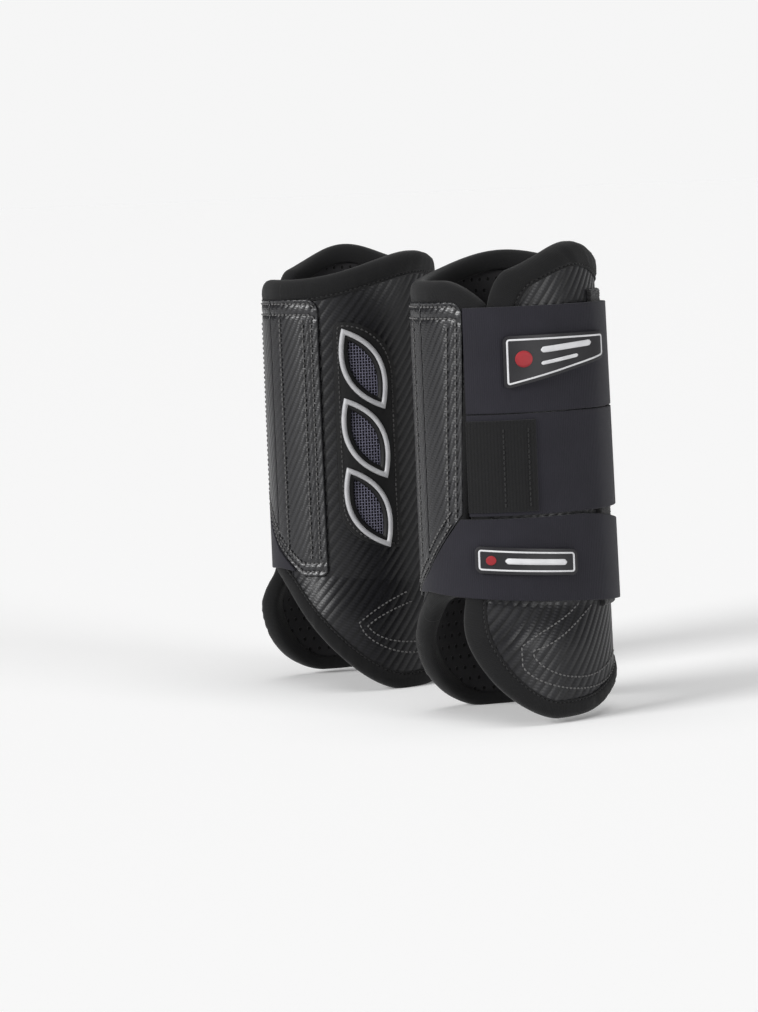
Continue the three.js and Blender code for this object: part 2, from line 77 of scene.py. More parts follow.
# ---- Outlines ----
SEAM_GAP = 0.5                    # degrees on each side of the seam down the front
FRONT_START = -13.0               # the front's soft layers start here, past the seam on the inner side
SEAM_BEND = (-3.0, 12.0)          # degrees at the seam between which the soft layers would bend as the flap opens; points there are worked out, but nothing bends the layers
SLIT_LOW = 29.7
SLIT_HIGH = 50.4
SLIT_GAP = 1.4
FLAP_HEM = 66.0
OUTER_LOBE_Z = 3.0
OUTER_LOBE_TOP = 65.0
OUTER_LOBE_ANGLE = 85.0
LOBE_POWER = 2 / 1.65
INNER_LOBE_ANGLE = 267.0
BACK_HEM_RISE = 18.0
HEM_FRONT_ANGLE = 382.0
TOP_MEAN = 232.4
TOP_WAVES = (-5.3, -3.6, 2.05)
TOP_CORNER_ANGLE = 66.0
TOP_CORNER_DROP = 28.0
CREST_ANGLE = 108.0
CREST_RISE = 4.2
CREST_REACH = 45.0
FLAP_TOP = 225.6
FLAP_TOP_DROP = 13.0
FLAP_ROUND_FROM = 15.0
BINDING_TOP = 11.5
BINDING_HEM = 8.5
BINDING_SLIT = 14.5               # degrees
FLAP_BINDING_SLIT = 10.0          # degrees

# ---- Front panels ----
PANEL_TOP = 216.0
INNER_PANEL_EDGE = 317.0
INNER_PANEL_LOW = 64.0
OUTER_PANEL_EDGE_LOW = 31.0
OUTER_PANEL_EDGE_HIGH = 35.6
PANEL_CORNER = 8.5
PANEL_CORNER_DROP = 7.0
DIAGONAL_AT_SEAM = 79.0
OUTER_DIAGONAL_SLOPE = 0.935
INNER_DIAGONAL_SLOPE = 0.62

# ---- Vents ----
VENT_ANGLE = 289.0
VENT_HEIGHTS = {"top": 177.0, "middle": 139.0, "bottom": 101.0}
LEAF_BOW = ((-11.3, 22.5), (-16.5, 3.0), (-12.0, -14.5), (11.3, -22.5))
VENT_RIM = 2.8
SURROUND = {
    "front": -15.9, "back": 18.5, "low": -61.0, "high": 64.0, "sweep_back": 32.0, "sweep_front": 26.0,
}

# ---- Straps ----
STRAP_ROOT = 36.2
STRAP_BEND = 6.5                  # degrees of a strap's separate root piece, where the strap would bend; nothing bends it here
STRAP_TIP = 176.0
STRAP_RAMP = (96.0, 124.0)
LOOP_FROM, LOOP_TO, LOOP_LOW, LOOP_HIGH = 126.0, 212.0, 56.0, 219.0
STRAP_ABOVE_FLARE = 1.2
STRAPS = {
    "upper": {"joint": 129.5, "low": 159.0, "high": 212.8, "tip_high": 212.2},
    "middle": {"joint": 105.0, "low": 107.0, "high": 158.5, "tip_high": 158.2},
    "lower": {"joint": 105.0, "low": None, "high": 105.6, "tip_high": 98.0},
}


# ---- The surface of the leg ----
def bulge(distance, reach):
    share = np.clip(np.abs(distance) / reach, 0, 1)
    return np.cos(share * np.pi / 2) ** 2


def wrapped(angle):
    return (np.asarray(angle, float) + 180) % 360 - 180


def lobe_flare(lobe, angle):
    away = wrapped(angle - lobe["angle"])
    reach = np.where(away * lobe["turn"] > 0, lobe["back"], lobe["front"])
    return lobe["size"] * bulge(away, reach)


def flare_top(angle):
    return FLARE_TOP - FLARE_FALL * np.abs(wrapped(angle))


def smoothstep(x, low, high):
    share = np.clip((x - low) / (high - low), 0, 1)
    return share * share * (3 - 2 * share)


def lerp(a, b, share):
    return a + (b - a) * share


def ellipse_drop(x):
    return 1 - np.sqrt(np.clip(1 - x * x, 0, 1))


def on_leg(angle, z, out):
    """Points of the left boot, in millimetres from its own leg axis, as an array (..., 3)."""
    angle, z, out = np.broadcast_arrays(*(np.asarray(x, float) for x in (angle, z, out)))
    t = np.radians(angle)
    below = np.clip((flare_top(angle) - z) / FLARE_DEPTH, 0, 1)
    growth = (1 - (1 - below) ** 2) * below * (1 + FLARE_EASE) / (below + FLARE_EASE)
    flare = growth * (lobe_flare(OUTER_FLARE, angle) + lobe_flare(INNER_FLARE, angle))
    front = np.maximum(0, np.cos(t))
    back_reach = BACK_REACH_LOW - BACK_TAPER * z
    reach = np.where(np.cos(t) > 0, FRONT_REACH, lerp(back_reach, FRONT_REACH, front))
    x = -(reach + out + flare) * np.cos(t)
    y = -(SIDE_REACH + out + flare) * np.sin(t)
    return np.stack([x, y, z], axis=-1)


def place(side, angle, z, out):
    """The same points in the frame, in metres, on the left or the right boot."""
    point = on_leg(angle, z, out) * MM
    point[..., 1] -= LEG_SPACING / 2 * MM
    if side == "right":
        point[..., 1] *= -1
    return point


def lengths_along(points):
    """Distance along a path up to each of its points."""
    steps = np.linalg.norm(np.diff(points, axis=0), axis=-1)
    return np.concatenate([[0], np.cumsum(steps)])


ARC_ANGLES = np.linspace(-60, 420, 961)
ARC_POINTS = on_leg(ARC_ANGLES, 120, SHELL_OUT)
ARC_LENGTHS = lengths_along(ARC_POINTS)


def arc(angle):
    """Distance round the shell, in millimetres, up to an angle."""
    return np.interp(angle, ARC_ANGLES, ARC_LENGTHS)


def angle_at(length):
    return np.interp(length, ARC_LENGTHS, ARC_ANGLES)


# ---- Meshes ----
def add_object(name, data):
    """A new object in the scene."""
    made = bpy.data.objects.new(name, data)
    bpy.context.scene.collection.objects.link(made)
    return made


def make_mesh(name, side, points, faces, uv, material, mirrored=True, flat=0):
    """A mesh from points in metres, faces that look outwards on the left boot, and UVs in millimetres.

    Its last faces, as many as flat says, meet their neighbours at a sharp edge.
    """
    if side == "right" and mirrored:
        faces = [face[::-1] for face in faces]
        uv = uv * (-1, 1)
    mesh = bpy.data.meshes.new(f"{side}_{name}")
    mesh.from_pydata(points.reshape(-1, 3).tolist(), [], faces)
    layer = mesh.uv_layers.new(name="cloth")
    corners = np.zeros(len(mesh.loops), np.int32)
    mesh.loops.foreach_get("vertex_index", corners)
    layer.data.foreach_set("uv", uv.reshape(-1, 2)[corners].astype(np.float32).ravel())
    mesh.polygons.foreach_set("use_smooth", np.arange(len(mesh.polygons)) < len(faces) - flat)
    mesh.materials.append(material)
    mesh.update()
    return add_object(f"{side}_{name}", mesh)


def grid_faces(columns, rows, start=0, flip=False):
    i, j = np.meshgrid(np.arange(columns), np.arange(rows), indexing="ij")
    a = start + i * (rows + 1) + j
    quads = np.stack([a, a + rows + 1, a + rows + 2, a + 1], axis=-1).reshape(-1, 4)
    return (quads[:, ::-1] if flip else quads).tolist()


def border_loop(columns, rows):
    low = [i * (rows + 1) for i in range(columns)]
    right = [columns * (rows + 1) + j for j in range(rows)]
    high = [i * (rows + 1) + rows for i in range(columns, 0, -1)]
    left = list(range(rows, 0, -1))
    return low + right + high + left


def slab(name, side, angle, z, inner, outer, material):
    """A closed piece between two faces wrapped round the leg, on a grid of angles and heights."""
    columns, rows = angle.shape[0] - 1, angle.shape[1] - 1
    count = angle.size
    points = np.concatenate([
        place(side, angle, z, outer).reshape(-1, 3),
        place(side, angle, z, inner).reshape(-1, 3),
    ])
    uv = np.stack([arc(angle), z], axis=-1).reshape(-1, 2)
    loop = border_loop(columns, rows)
    walls = [[q, p, p + count, q + count] for p, q in zip(loop, loop[1:] + loop[:1])]
    faces = grid_faces(columns, rows) + grid_faces(columns, rows, count, flip=True) + walls
    return make_mesh(name, side, points, faces, np.concatenate([uv, uv]), material, flat=len(walls))


def outline_grid(bottom, top, columns, rows, edge=()):
    """Angles and heights between two edges. edge holds extra rows near the borders, in shares."""
    near_edge = np.array(edge)
    u = np.unique(np.concatenate([np.linspace(0, 1, columns + 1), near_edge, 1 - near_edge]))
    v = np.unique(np.concatenate([np.linspace(0, 1, rows + 1), near_edge, 1 - near_edge]))
    low_angle, low_z = bottom(u)
    high_angle, high_z = top(u)
    angle = lerp(low_angle[:, None], high_angle[:, None], v[None, :])
    return angle, lerp(low_z[:, None], high_z[:, None], v[None, :])


def straight_edge(start, end, height):
    """An edge between two angles, at a height that is a number or a function of the angle."""
    def edge(u):
        angle = lerp(start, end, u)
        level = height(angle) if callable(height) else height
        return angle, level + np.zeros_like(angle)
    return edge


def straight_outline(start, end, low, high):
    """A lower and an upper edge between the same two angles."""
    return straight_edge(start, end, low), straight_edge(start, end, high)


def bake(piece):
    """Applies a piece's modifiers."""
    graph = bpy.context.evaluated_depsgraph_get()
    mesh = bpy.data.meshes.new_from_object(piece.evaluated_get(graph))
    piece.modifiers.clear()
    piece.data = mesh
    return piece


def soften(piece, width, segments=2):
    """Rounds a piece's sharp edges."""
    bevel = piece.modifiers.new("round", "BEVEL")
    bevel.width = width * MM
    bevel.segments = segments
    bevel.limit_method = "ANGLE"
    bevel.angle_limit = math.radians(50)
    bevel.harden_normals = False
    return bake(piece)


def cut(piece, tool, operation="DIFFERENCE"):
    """Cuts a tool out of a piece, or keeps what lies in both, and removes the tool."""
    boolean = piece.modifiers.new("cut", "BOOLEAN")
    boolean.object = tool
    boolean.operation = operation
    boolean.solver = "MANIFOLD"
    bake(piece)
    bpy.data.objects.remove(tool)


def strip(name, side, rails, material, closed=False):
    """A closed tube from rails: arrays of angle, z and out with the shape (sections, around)."""
    angle, z, out = rails
    sections, around = angle.shape
    points = place(side, angle, z, out)
    steps = np.linalg.norm(np.diff(points, axis=0), axis=-1).mean(axis=1) / MM
    along = np.concatenate([[0], np.cumsum(steps)])
    across = lengths_along(points[0]) / MM
    uv = np.stack(np.meshgrid(along, across, indexing="ij"), axis=-1)
    i, j = np.meshgrid(np.arange(sections if closed else sections - 1), np.arange(around), indexing="ij")
    k, m = (i + 1) % sections, (j + 1) % around
    quads = np.stack([i * around + j, k * around + j, k * around + m, i * around + m], axis=-1)
    faces = quads.reshape(-1, 4).tolist()
    if not closed:
        faces += [list(range(around)), [(sections - 1) * around + j for j in range(around)][::-1]]
    piece = make_mesh(name, side, points, faces, uv, material, flat=0 if closed else 2)
    return face_out(piece)


def face_out(piece):
    """Turns a closed mesh's faces outwards."""
    shape = bmesh.new()
    shape.from_mesh(piece.data)
    bmesh.ops.recalc_face_normals(shape, faces=shape.faces)
    shape.to_mesh(piece.data)
    shape.free()
    return piece


# ---- Outlines of the main part and the front flap ----
ROUNDED_SHARE = 0.22              # share of the columns that go to the rounded edges by the slit
MAIN_END = 360 + FRONT_START


def main_hem(angle):
    climb = (angle - INNER_LOBE_ANGLE) / (HEM_FRONT_ANGLE - INNER_LOBE_ANGLE)
    inner = FLAP_HEM * (1 - np.cos(np.pi * climb)) / 2
    along = np.clip((angle - OUTER_LOBE_ANGLE) / (INNER_LOBE_ANGLE - OUTER_LOBE_ANGLE), 0, 1)
    back = lerp(OUTER_LOBE_Z, 0, along) + BACK_HEM_RISE * np.sin(np.pi * along) ** 3
    return np.where(angle > INNER_LOBE_ANGLE, inner, back)


def raised_hem(angle, width):
    """The hem raised by a width measured square to the edge."""
    slope = (main_hem(angle + 1) - main_hem(angle)) / (arc(angle + 1) - arc(angle))
    return main_hem(angle) + width * np.hypot(1, slope)


def main_top(angle):
    t = np.radians(angle)
    waves = sum(size * np.cos(t * (i + 1)) for i, size in enumerate(TOP_WAVES))
    return TOP_MEAN + waves + CREST_RISE * bulge(angle - CREST_ANGLE, CREST_REACH)


def main_outline(inset):
    """The lower and upper edge of the main part, drawn in by the binding's widths times inset."""
    slit_low = SLIT_LOW + inset * BINDING_SLIT
    slit_high = SLIT_HIGH + inset * BINDING_SLIT
    corner_end = TOP_CORNER_ANGLE + inset * BINDING_SLIT
    hem = inset * BINDING_HEM

    def edge(u, rounded, rounded_end):
        """How far round the corner by the slit each place is, and its angle."""
        turn = np.clip(u / ROUNDED_SHARE, 0, 1) * np.pi / 2
        beyond = np.clip((u - ROUNDED_SHARE) / (1 - ROUNDED_SHARE), 0, 1)
        return turn, np.where(u < ROUNDED_SHARE, rounded(turn), lerp(rounded_end, MAIN_END, beyond))

    def lobe(turn):
        return OUTER_LOBE_ANGLE - (OUTER_LOBE_ANGLE - slit_low) * np.cos(turn) ** LOBE_POWER

    def corner(turn):
        return corner_end - (corner_end - slit_high) * np.cos(turn)

    def bottom(u):
        turn, angle = edge(u, lobe, OUTER_LOBE_ANGLE)
        lobe_low = OUTER_LOBE_Z + hem
        lobe_z = OUTER_LOBE_TOP - (OUTER_LOBE_TOP - lobe_low) * np.sin(turn) ** LOBE_POWER
        return angle, np.where(u < ROUNDED_SHARE, lobe_z, raised_hem(angle, hem))

    def top(u):
        turn, angle = edge(u, corner, corner_end)
        drop = TOP_CORNER_DROP * (1 - np.sin(turn))
        return angle, main_top(angle) - drop - inset * BINDING_TOP

    return bottom, top


def front_top(angle):
    into = np.maximum(0, angle - FLAP_ROUND_FROM) / (SLIT_HIGH - FLAP_ROUND_FROM)
    return np.where(angle < 0, main_top(angle), FLAP_TOP - FLAP_TOP_DROP * into ** 2)


def front_hem(angle, width):
    on_main_hem = raised_hem(angle + 360, width)
    return np.where(angle < HEM_FRONT_ANGLE - 360, on_main_hem, FLAP_HEM + width)


def front_outline(inset):
    """The lower and upper edge of the soft layers at the front, from the main part's edge to the slit."""
    end_low = SLIT_LOW - SLIT_GAP - inset * FLAP_BINDING_SLIT
    end_high = SLIT_HIGH - SLIT_GAP - inset * FLAP_BINDING_SLIT

    def bottom(u):
        angle = lerp(FRONT_START, end_low, u)
        return angle, front_hem(angle, inset * BINDING_HEM)

    def top(u):
        angle = lerp(FRONT_START, end_high, u)
        return angle, front_top(angle) - inset * BINDING_TOP

    return bottom, top


# ---- Materials ----
SHELL_TWILL = {"pitch": 4.2, "lean": 52, "segment": 1.7, "depth": 0.26}
PANEL_TWILL = {"pitch": 3.4, "lean": 60, "segment": 1.4, "depth": 0.18}
HOLE_PITCH = 6.0                  # spacing of the holes in the neoprene


def paint(red, green, blue):
    """A colour from 0 to 255 as a linear one."""
    shares = np.array((red, green, blue)) / 255
    linear = np.where(shares <= 0.04045, shares / 12.92, ((shares + 0.055) / 1.055) ** 2.4)
    return (*linear.tolist(), 1.0)


class Graph:
    """A material's node tree, with short names for what the materials below use."""

    def __init__(self, name, **settings):
        self.material = bpy.data.materials.new(name)
        self.material.use_nodes = True
        self.tree = self.material.node_tree
        self.shader = self.tree.nodes["Principled BSDF"]
        for socket, value in settings.items():
            self.shader.inputs[socket.replace("_", " ")].default_value = value

    def node(self, kind, *values, **settings):
        made = self.tree.nodes.new("ShaderNode" + kind)
        for key, value in settings.items():
            setattr(made, key, value)
        for socket, value in zip(made.inputs, values):
            self.set(socket, value)
        return made

    def set(self, socket, value):
        if isinstance(value, bpy.types.NodeSocket):
            self.tree.links.new(value, socket)
        elif value is not None:
            socket.default_value = value

    def math(self, operation, *values):
        return self.node("Math", *values, operation=operation).outputs[0]

    def cloth(self):
        """The place on the cloth in millimetres: along, up."""
        place_on = self.node("UVMap", uv_map="cloth").outputs[0]
        split = self.node("SeparateXYZ", place_on)
        return split.outputs[0], split.outputs[1]

    def in_space(self):
        """The place in space in millimetres, for pieces that don't bend."""
        place_at = self.node("TexCoord").outputs["Object"]
        return self.node("VectorMath", place_at, (1 / MM,) * 3, operation="MULTIPLY").outputs[0]

    def noise(self, scale, detail=2.0, vector=None):
        vector = vector or self.node("UVMap", uv_map="cloth").outputs[0]
        made = self.node("TexNoise")
        self.set(made.inputs["Vector"], vector)
        made.inputs["Scale"].default_value = scale
        made.inputs["Detail"].default_value = detail
        return made.outputs["Fac"]

    def hump(self, value):
        """A rounded ridge from 0 to 1 and back for each whole step of the value."""
        part = self.math("FRACT", value)
        swing = self.math("MULTIPLY_ADD", part, 2.0, -1.0)
        return self.math("SUBTRACT", 1.0, self.math("MULTIPLY", swing, swing))

    def mix(self, share, first, second):
        made = self.node("Mix", data_type="RGBA")
        for index, value in ((0, share), (6, first), (7, second)):
            self.set(made.inputs[index], value)
        return made.outputs[2]

    def remap(self, value, low, high, to_low, to_high):
        made = self.node("MapRange")
        for index, number in enumerate((value, low, high, to_low, to_high)):
            self.set(made.inputs[index], number)
        return made.outputs[0]

    def surface(self, colour, fine, rough, height, depth, span=(0.3, 0.7)):
        """Sets the colour, a roughness that follows a fine pattern over its span, and a bump.

        The bump's height goes from 0 to 1, for a depth in millimetres. Returns the material.
        """
        made = self.node("Bump")
        made.inputs["Strength"].default_value = 1.0
        made.inputs["Distance"].default_value = depth * MM
        self.set(made.inputs["Height"], height)
        self.set(self.shader.inputs["Base Color"], colour)
        self.set(self.shader.inputs["Roughness"], self.remap(fine, *span, *rough))
        self.set(self.shader.inputs["Normal"], made.outputs[0])
        return self.material


def twill_across(along, up, cloth):
    """Which rib of a twill a place is on, from one rib's middle to the next."""
    lean = math.radians(cloth["lean"])
    return (up * math.cos(lean) - along * math.sin(lean)) / cloth["pitch"]


def twill_relief(side, angle, z, cloth):
    """Height of the ribs above the ground between them, in millimetres."""
    along = arc(angle) * (1 if side == "left" else -1)
    swing = 2 * (twill_across(along, z, cloth) % 1) - 1
    return cloth["depth"] * (1 - swing ** 2)


def twill(graph, cloth):
    """Ribs that climb to the right, each laid from short slanting segments.

    Returns the ribs' height and the segments' share of it, both from 0 to 1.
    """
    along, up = graph.cloth()
    lean = math.radians(cloth["lean"])
    across = graph.math("MULTIPLY", along, -math.sin(lean) / cloth["pitch"])
    across = graph.math("MULTIPLY_ADD", up, math.cos(lean) / cloth["pitch"], across)
    length = graph.math("MULTIPLY", along, math.cos(lean) / cloth["segment"])
    length = graph.math("MULTIPLY_ADD", up, math.sin(lean) / cloth["segment"], length)
    shifted = graph.math("MULTIPLY_ADD", graph.math("FLOOR", across), 0.5, length)
    slanted = graph.math("MULTIPLY_ADD", graph.math("FRACT", across), 0.8, shifted)
    lay = graph.math("MULTIPLY_ADD", graph.hump(slanted), 0.45, 0.55)
    return graph.hump(across), lay


def carbon_cloth(name, dark, light, cloth, rough, specular):
    graph = Graph(name, Specular_IOR_Level=specular)
    rib, lay = twill(graph, cloth)
    patchy = graph.remap(graph.noise(0.05, 3.0), 0.3, 0.7, -0.12, 0.12)
    height = graph.math("MULTIPLY", rib, lay)
    # The colour follows the ribs' height, which is real relief: painted shade in the grooves between the ribs
    # and a painted highlight along each segment, under a random patchy tone.
    colour = graph.mix(graph.math("ADD", height, patchy), paint(*dark), paint(*light))
    fine = graph.noise(2.2, 2.0)
    grain = graph.math("MULTIPLY_ADD", fine, 0.2, height)
    return graph.surface(colour, fine, (rough - 0.07, rough + 0.1), grain, 0.13)


def knit_cloth(name, colour, shade, wale, course, depth, rough):
    """A plain cloth of fine upright wales and level courses."""
    graph = Graph(name, Specular_IOR_Level=0.25, Sheen_Weight=0.1, Sheen_Roughness=0.5)
    along, up = graph.cloth()
    wales = graph.hump(graph.math("DIVIDE", along, wale))
    courses = graph.hump(graph.math("DIVIDE", up, course))
    weave = graph.math("MULTIPLY", wales, graph.math("MULTIPLY_ADD", courses, 0.5, 0.5))
    cloudy = graph.remap(graph.noise(0.06, 3.0), 0.3, 0.7, -0.2, 0.2)
    share = graph.math("MULTIPLY_ADD", weave, 0.7, cloudy)
    fine = graph.noise(3.0, 2.0)
    grain = graph.math("MULTIPLY_ADD", fine, 0.3, weave)
    mixed = graph.mix(share, paint(*shade), paint(*colour))
    return graph.surface(mixed, fine, (rough - 0.06, rough + 0.06), grain, depth)


def perforated_neoprene():
    graph = Graph("neoprene", Specular_IOR_Level=0.2, Sheen_Weight=0.1, Sheen_Roughness=0.5)
    along, up = graph.cloth()
    row = graph.math("FLOOR", graph.math("DIVIDE", up, HOLE_PITCH))
    shift = graph.math("MULTIPLY", graph.math("MODULO", row, 2.0), 0.5)

    def from_middle(places):
        return graph.math("SUBTRACT", graph.math("FRACT", places), 0.5)

    x = from_middle(graph.math("MULTIPLY_ADD", along, 1 / HOLE_PITCH, shift))
    y = from_middle(graph.math("DIVIDE", up, HOLE_PITCH))
    far = graph.math("SQRT", graph.math("ADD", graph.math("MULTIPLY", x, x), graph.math("MULTIPLY", y, y)))
    # Each hole is a dip in the bump, painted near black: painted shade inside the hole.
    hole = graph.remap(far, 0.14, 0.19, 1.0, 0.0)
    fine = graph.noise(2.5, 3.0)
    cloth = graph.mix(fine, paint(30, 30, 31), paint(48, 47, 49))
    height = graph.math("SUBTRACT", graph.math("MULTIPLY", fine, 0.3), hole)
    return graph.surface(graph.mix(hole, cloth, paint(8, 8, 8)), fine, (0.85, 0.98), height, 0.5)


def moulded(name, colour, shade, rough, specular=0.4, grain=0.05):
    """Moulded rubber or plastic with a slight grain."""
    graph = Graph(name, Specular_IOR_Level=specular)
    at = graph.in_space()
    cloudy = graph.remap(graph.noise(0.12, 3.0, at), 0.3, 0.7, 0.0, 1.0)
    fine = graph.noise(3.5, 3.0, at)
    mixed = graph.mix(cloudy, paint(*shade), paint(*colour))
    return graph.surface(mixed, fine, (rough - 0.05, rough + 0.08), fine, grain)


def brushed_loop():
    graph = Graph("loop", Specular_IOR_Level=0.15, Sheen_Weight=0.25, Sheen_Roughness=0.6)
    tufts = graph.noise(1.1, 4.0)
    colour = graph.mix(graph.remap(tufts, 0.35, 0.65, 0.0, 1.0), paint(18, 18, 19), paint(52, 51, 53))
    return graph.surface(colour, tufts, (0.9, 1.0), tufts, 0.9)


def twisted_thread(name, colour, shade):
    graph = Graph(name, Specular_IOR_Level=0.35, Sheen_Weight=0.1)
    along, up = graph.cloth()
    ply = graph.hump(graph.math("MULTIPLY_ADD", along, 2.2, graph.math("MULTIPLY", up, 0.9)))
    mixed = graph.mix(ply, paint(*shade), paint(*colour))
    return graph.surface(mixed, ply, (0.75, 0.6), ply, 0.08, span=(0, 1))


LOOKS = {
    "neoprene": perforated_neoprene(),
    "binding": knit_cloth("binding", (21, 21, 22), (15, 15, 16), 0.9, 0.7, 0.1, 0.9),
    "carbon": carbon_cloth("carbon", (5, 5, 6), (22, 22, 26), SHELL_TWILL, 0.4, 0.4),
    "front_panel": carbon_cloth("front_panel", (6, 6, 8), (27, 27, 31), PANEL_TWILL, 0.33, 0.64),
    "plate": moulded("plate", (30, 30, 32), (24, 24, 26), 0.55),
    "surround": moulded("surround", (19, 19, 20), (14, 14, 15), 0.5, grain=0.08),
    "lip": moulded("lip", (14, 14, 15), (9, 9, 10), 0.55),
    "rim": moulded("rim", (196, 196, 198), (172, 172, 175), 0.34, 0.6, grain=0.02),
    "mesh": knit_cloth("mesh", (140, 139, 158), (98, 97, 113), 0.4, 0.4, 0.06, 0.7),
    "mesh_backing": knit_cloth("mesh_backing", (34, 33, 40), (18, 17, 22), 1.2, 1.2, 0.2, 0.9),
    "loop": brushed_loop(),
    "elastic": knit_cloth("elastic", (35, 34, 42), (26, 25, 32), 1.05, 0.55, 0.09, 0.78),
    "hook": moulded("hook", (30, 30, 32), (22, 22, 24), 0.55, grain=0.1),
    "tab": knit_cloth("tab", (23, 23, 24), (15, 15, 16), 1.6, 1.1, 0.22, 0.85),
    "badge": moulded("badge", (30, 29, 33), (23, 22, 26), 0.45, grain=0.03),
    "badge_print": moulded("badge_print", (214, 214, 216), (198, 198, 201), 0.5, grain=0.02),
    "badge_mark": moulded("badge_mark", (158, 34, 42), (138, 26, 34), 0.5, grain=0.02),
    "panel_thread": twisted_thread("panel_thread", (110, 109, 109), (68, 67, 67)),
    "dark_thread": twisted_thread("dark_thread", (30, 30, 31), (16, 16, 17)),
    # The stitches round the vents use a darker copy of the panel thread: painted shade.
    "shaded_surround_thread": twisted_thread("shaded_surround_thread", (72, 71, 71), (44, 43, 43)),
}


# ---- Lining, shell and edge binding ----
CLOTH_STEP = 0.8                  # spacing of the points that shape a twill, in millimetres
LINING_ROWS = 60
HIDDEN_EDGE = 0.96                # the shell's edge lies this share of the binding's width in, under the tape
TAPE_FOLD = (                     # the folded tape's section: share of its width in, and distance out
    (1.00, 8.3), (1.01, 8.9), (0.97, 9.2), (0.92, 9.0), (0.89, 8.3), (0.86, 8.9), (0.78, 9.4),
    (0.5, 9.6), (0.25, 9.4), (0.08, 8.6), (-0.04, 7.2), (-0.1, 5.0), (-0.1, 2.8), (-0.05, 0.8),
    (0.08, -0.4), (0.35, -0.8), (0.7, -0.8), (0.78, -0.5), (0.76, 0.0), (0.4, 0.3), (0.1, 0.6),
    (0.0, 2.8), (0.0, 5.0), (0.08, 7.2), (0.25, 8.2), (0.5, 8.3), (0.85, 8.0),
)
TAPE_STITCH_AT = 0.89
TAPE_STITCH_OUT = 8.55
TAPE_STEP = 2.2
NEAR_END = 0.3                    # a place this close to each end keeps the shading smooth across a seam
SEAM = "seam"                     # in place of a body, for a piece at the seam down the front, which is fixed in place on no body
SOFT_PARTS = (                    # the main part and the front flap, each with the CAD nodes of its layers
    {
        "ending": "", "outline": main_outline, "slit_end": "first",
        "body": "root", "columns": 90, "seed": 11,
        "lining": "main_lining", "shell": "carbon_shell", "binding": "main_binding",
    },
    {
        "ending": "_front", "outline": front_outline, "slit_end": "last",
        "body": SEAM, "columns": 24, "seed": 12,
        "lining": "flap_lining", "shell": "flap_shell", "binding": "flap_binding",
    },
)


def seam_points(side, bend, z=140.0, out=LINING_OUT):
    return [place(side, angle, z, out).tolist() for angle in bend]


def settle(piece, side, body, node=None):
    """Attaches a piece to the body it rides on, or fixes a piece at the seam in place on no body, and hides
    the CAD node it replaces.
    """
    if body == SEAM:
        start, end = seam_points(side, SEAM_BEND)
        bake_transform(piece)
    else:
        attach(piece, body)
    if node:
        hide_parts(f"{side}_{node}")


def cloth_grid(outline, edge=()):
    """A grid between two edges, with the cloth's point spacing."""
    bottom, top = outline
    u = np.linspace(0, 1, 50)
    low_angle, low_z = bottom(u)
    high_angle, high_z = top(u)
    width = max(arc(low_angle[-1]) - arc(low_angle[0]), arc(high_angle[-1]) - arc(high_angle[0]))
    height = np.max(high_z - low_z)
    return outline_grid(bottom, top, int(width / CLOTH_STEP), int(height / CLOTH_STEP), edge=edge)


def cut_vents(piece, side, body):
    """Cuts the vents' windows out of a layer of the main part."""
    if body == "root":
        for height in VENT_HEIGHTS.values():
            cut(piece, prism("leaf_tool", side, leaf(VENT_RIM)[::2], height))


def add_lining(side):
    for part in SOFT_PARTS:
        angle, z = outline_grid(*part["outline"](0), part["columns"], LINING_ROWS)
        lining = slab("lining" + part["ending"], side, angle, z, LINING_IN, LINING_OUT, LOOKS["neoprene"])
        cut_vents(lining, side, part["body"])
        settle(lining, side, part["body"], part["lining"])


def add_shell(side):
    for part in SOFT_PARTS:
        angle, z = cloth_grid(part["outline"](HIDDEN_EDGE))
        outer = SHELL_OUT - SHELL_TWILL["depth"] + twill_relief(side, angle, z, SHELL_TWILL)
        shell = slab("shell" + part["ending"], side, angle, z, SHELL_IN, outer, LOOKS["carbon"])
        cut_vents(shell, side, part["body"])
        settle(shell, side, part["body"], part["shell"])


def rim_path(outline, slit_end):
    """Round an outline: along its top to the slit, down the slit, and back along its bottom edge."""
    bottom, top = outline
    share = np.linspace(0, 1, 400)
    top_angle, top_z = top(share)
    bottom_angle, bottom_z = bottom(share)
    tip = 0 if slit_end == "first" else -1
    side_angle = lerp(top_angle[tip], bottom_angle[tip], share)
    side_z = lerp(top_z[tip], bottom_z[tip], share)
    if slit_end == "first":
        top_angle, top_z = top_angle[::-1], top_z[::-1]
    else:
        bottom_angle, bottom_z = bottom_angle[::-1], bottom_z[::-1]
    angle = np.concatenate([top_angle, side_angle[1:-1], bottom_angle])
    return angle, np.concatenate([top_z, side_z[1:-1], bottom_z])


def resample(step, *tracks):
    """Evenly spaced places along the first two tracks (angle, z), and the same places on the others."""
    points = on_leg(tracks[0], tracks[1], SHELL_OUT)
    lengths = lengths_along(points)
    near_ends = [NEAR_END, lengths[-1] - NEAR_END]
    places = np.union1d(np.linspace(0, lengths[-1], max(2, int(lengths[-1] / step))), near_ends)
    return [np.interp(places, lengths, track) for track in tracks]


def tape_rails(outer_path, inner_path, seed):
    angle_0, z_0, angle_1, z_1 = resample(TAPE_STEP, *outer_path, *inner_path)
    share, out = np.array(TAPE_FOLD).T
    angle = lerp(angle_0[:, None], angle_1[:, None], share)
    z = lerp(z_0[:, None], z_1[:, None], share)
    chance = np.random.default_rng(seed)
    puckers = chance.normal(0, 0.13, (len(angle_0), 1)) + chance.normal(0, 0.05, angle.shape)
    outside = np.where((out > 8.4) & (share > 0.05) & (share < 0.88), 1.0, 0.0)
    from_end = np.minimum(np.arange(len(angle_0)), np.arange(len(angle_0))[::-1])
    fade = np.clip((from_end - 2) / 8, 0, 1)[:, None]
    return angle, z, out + puckers * outside * fade


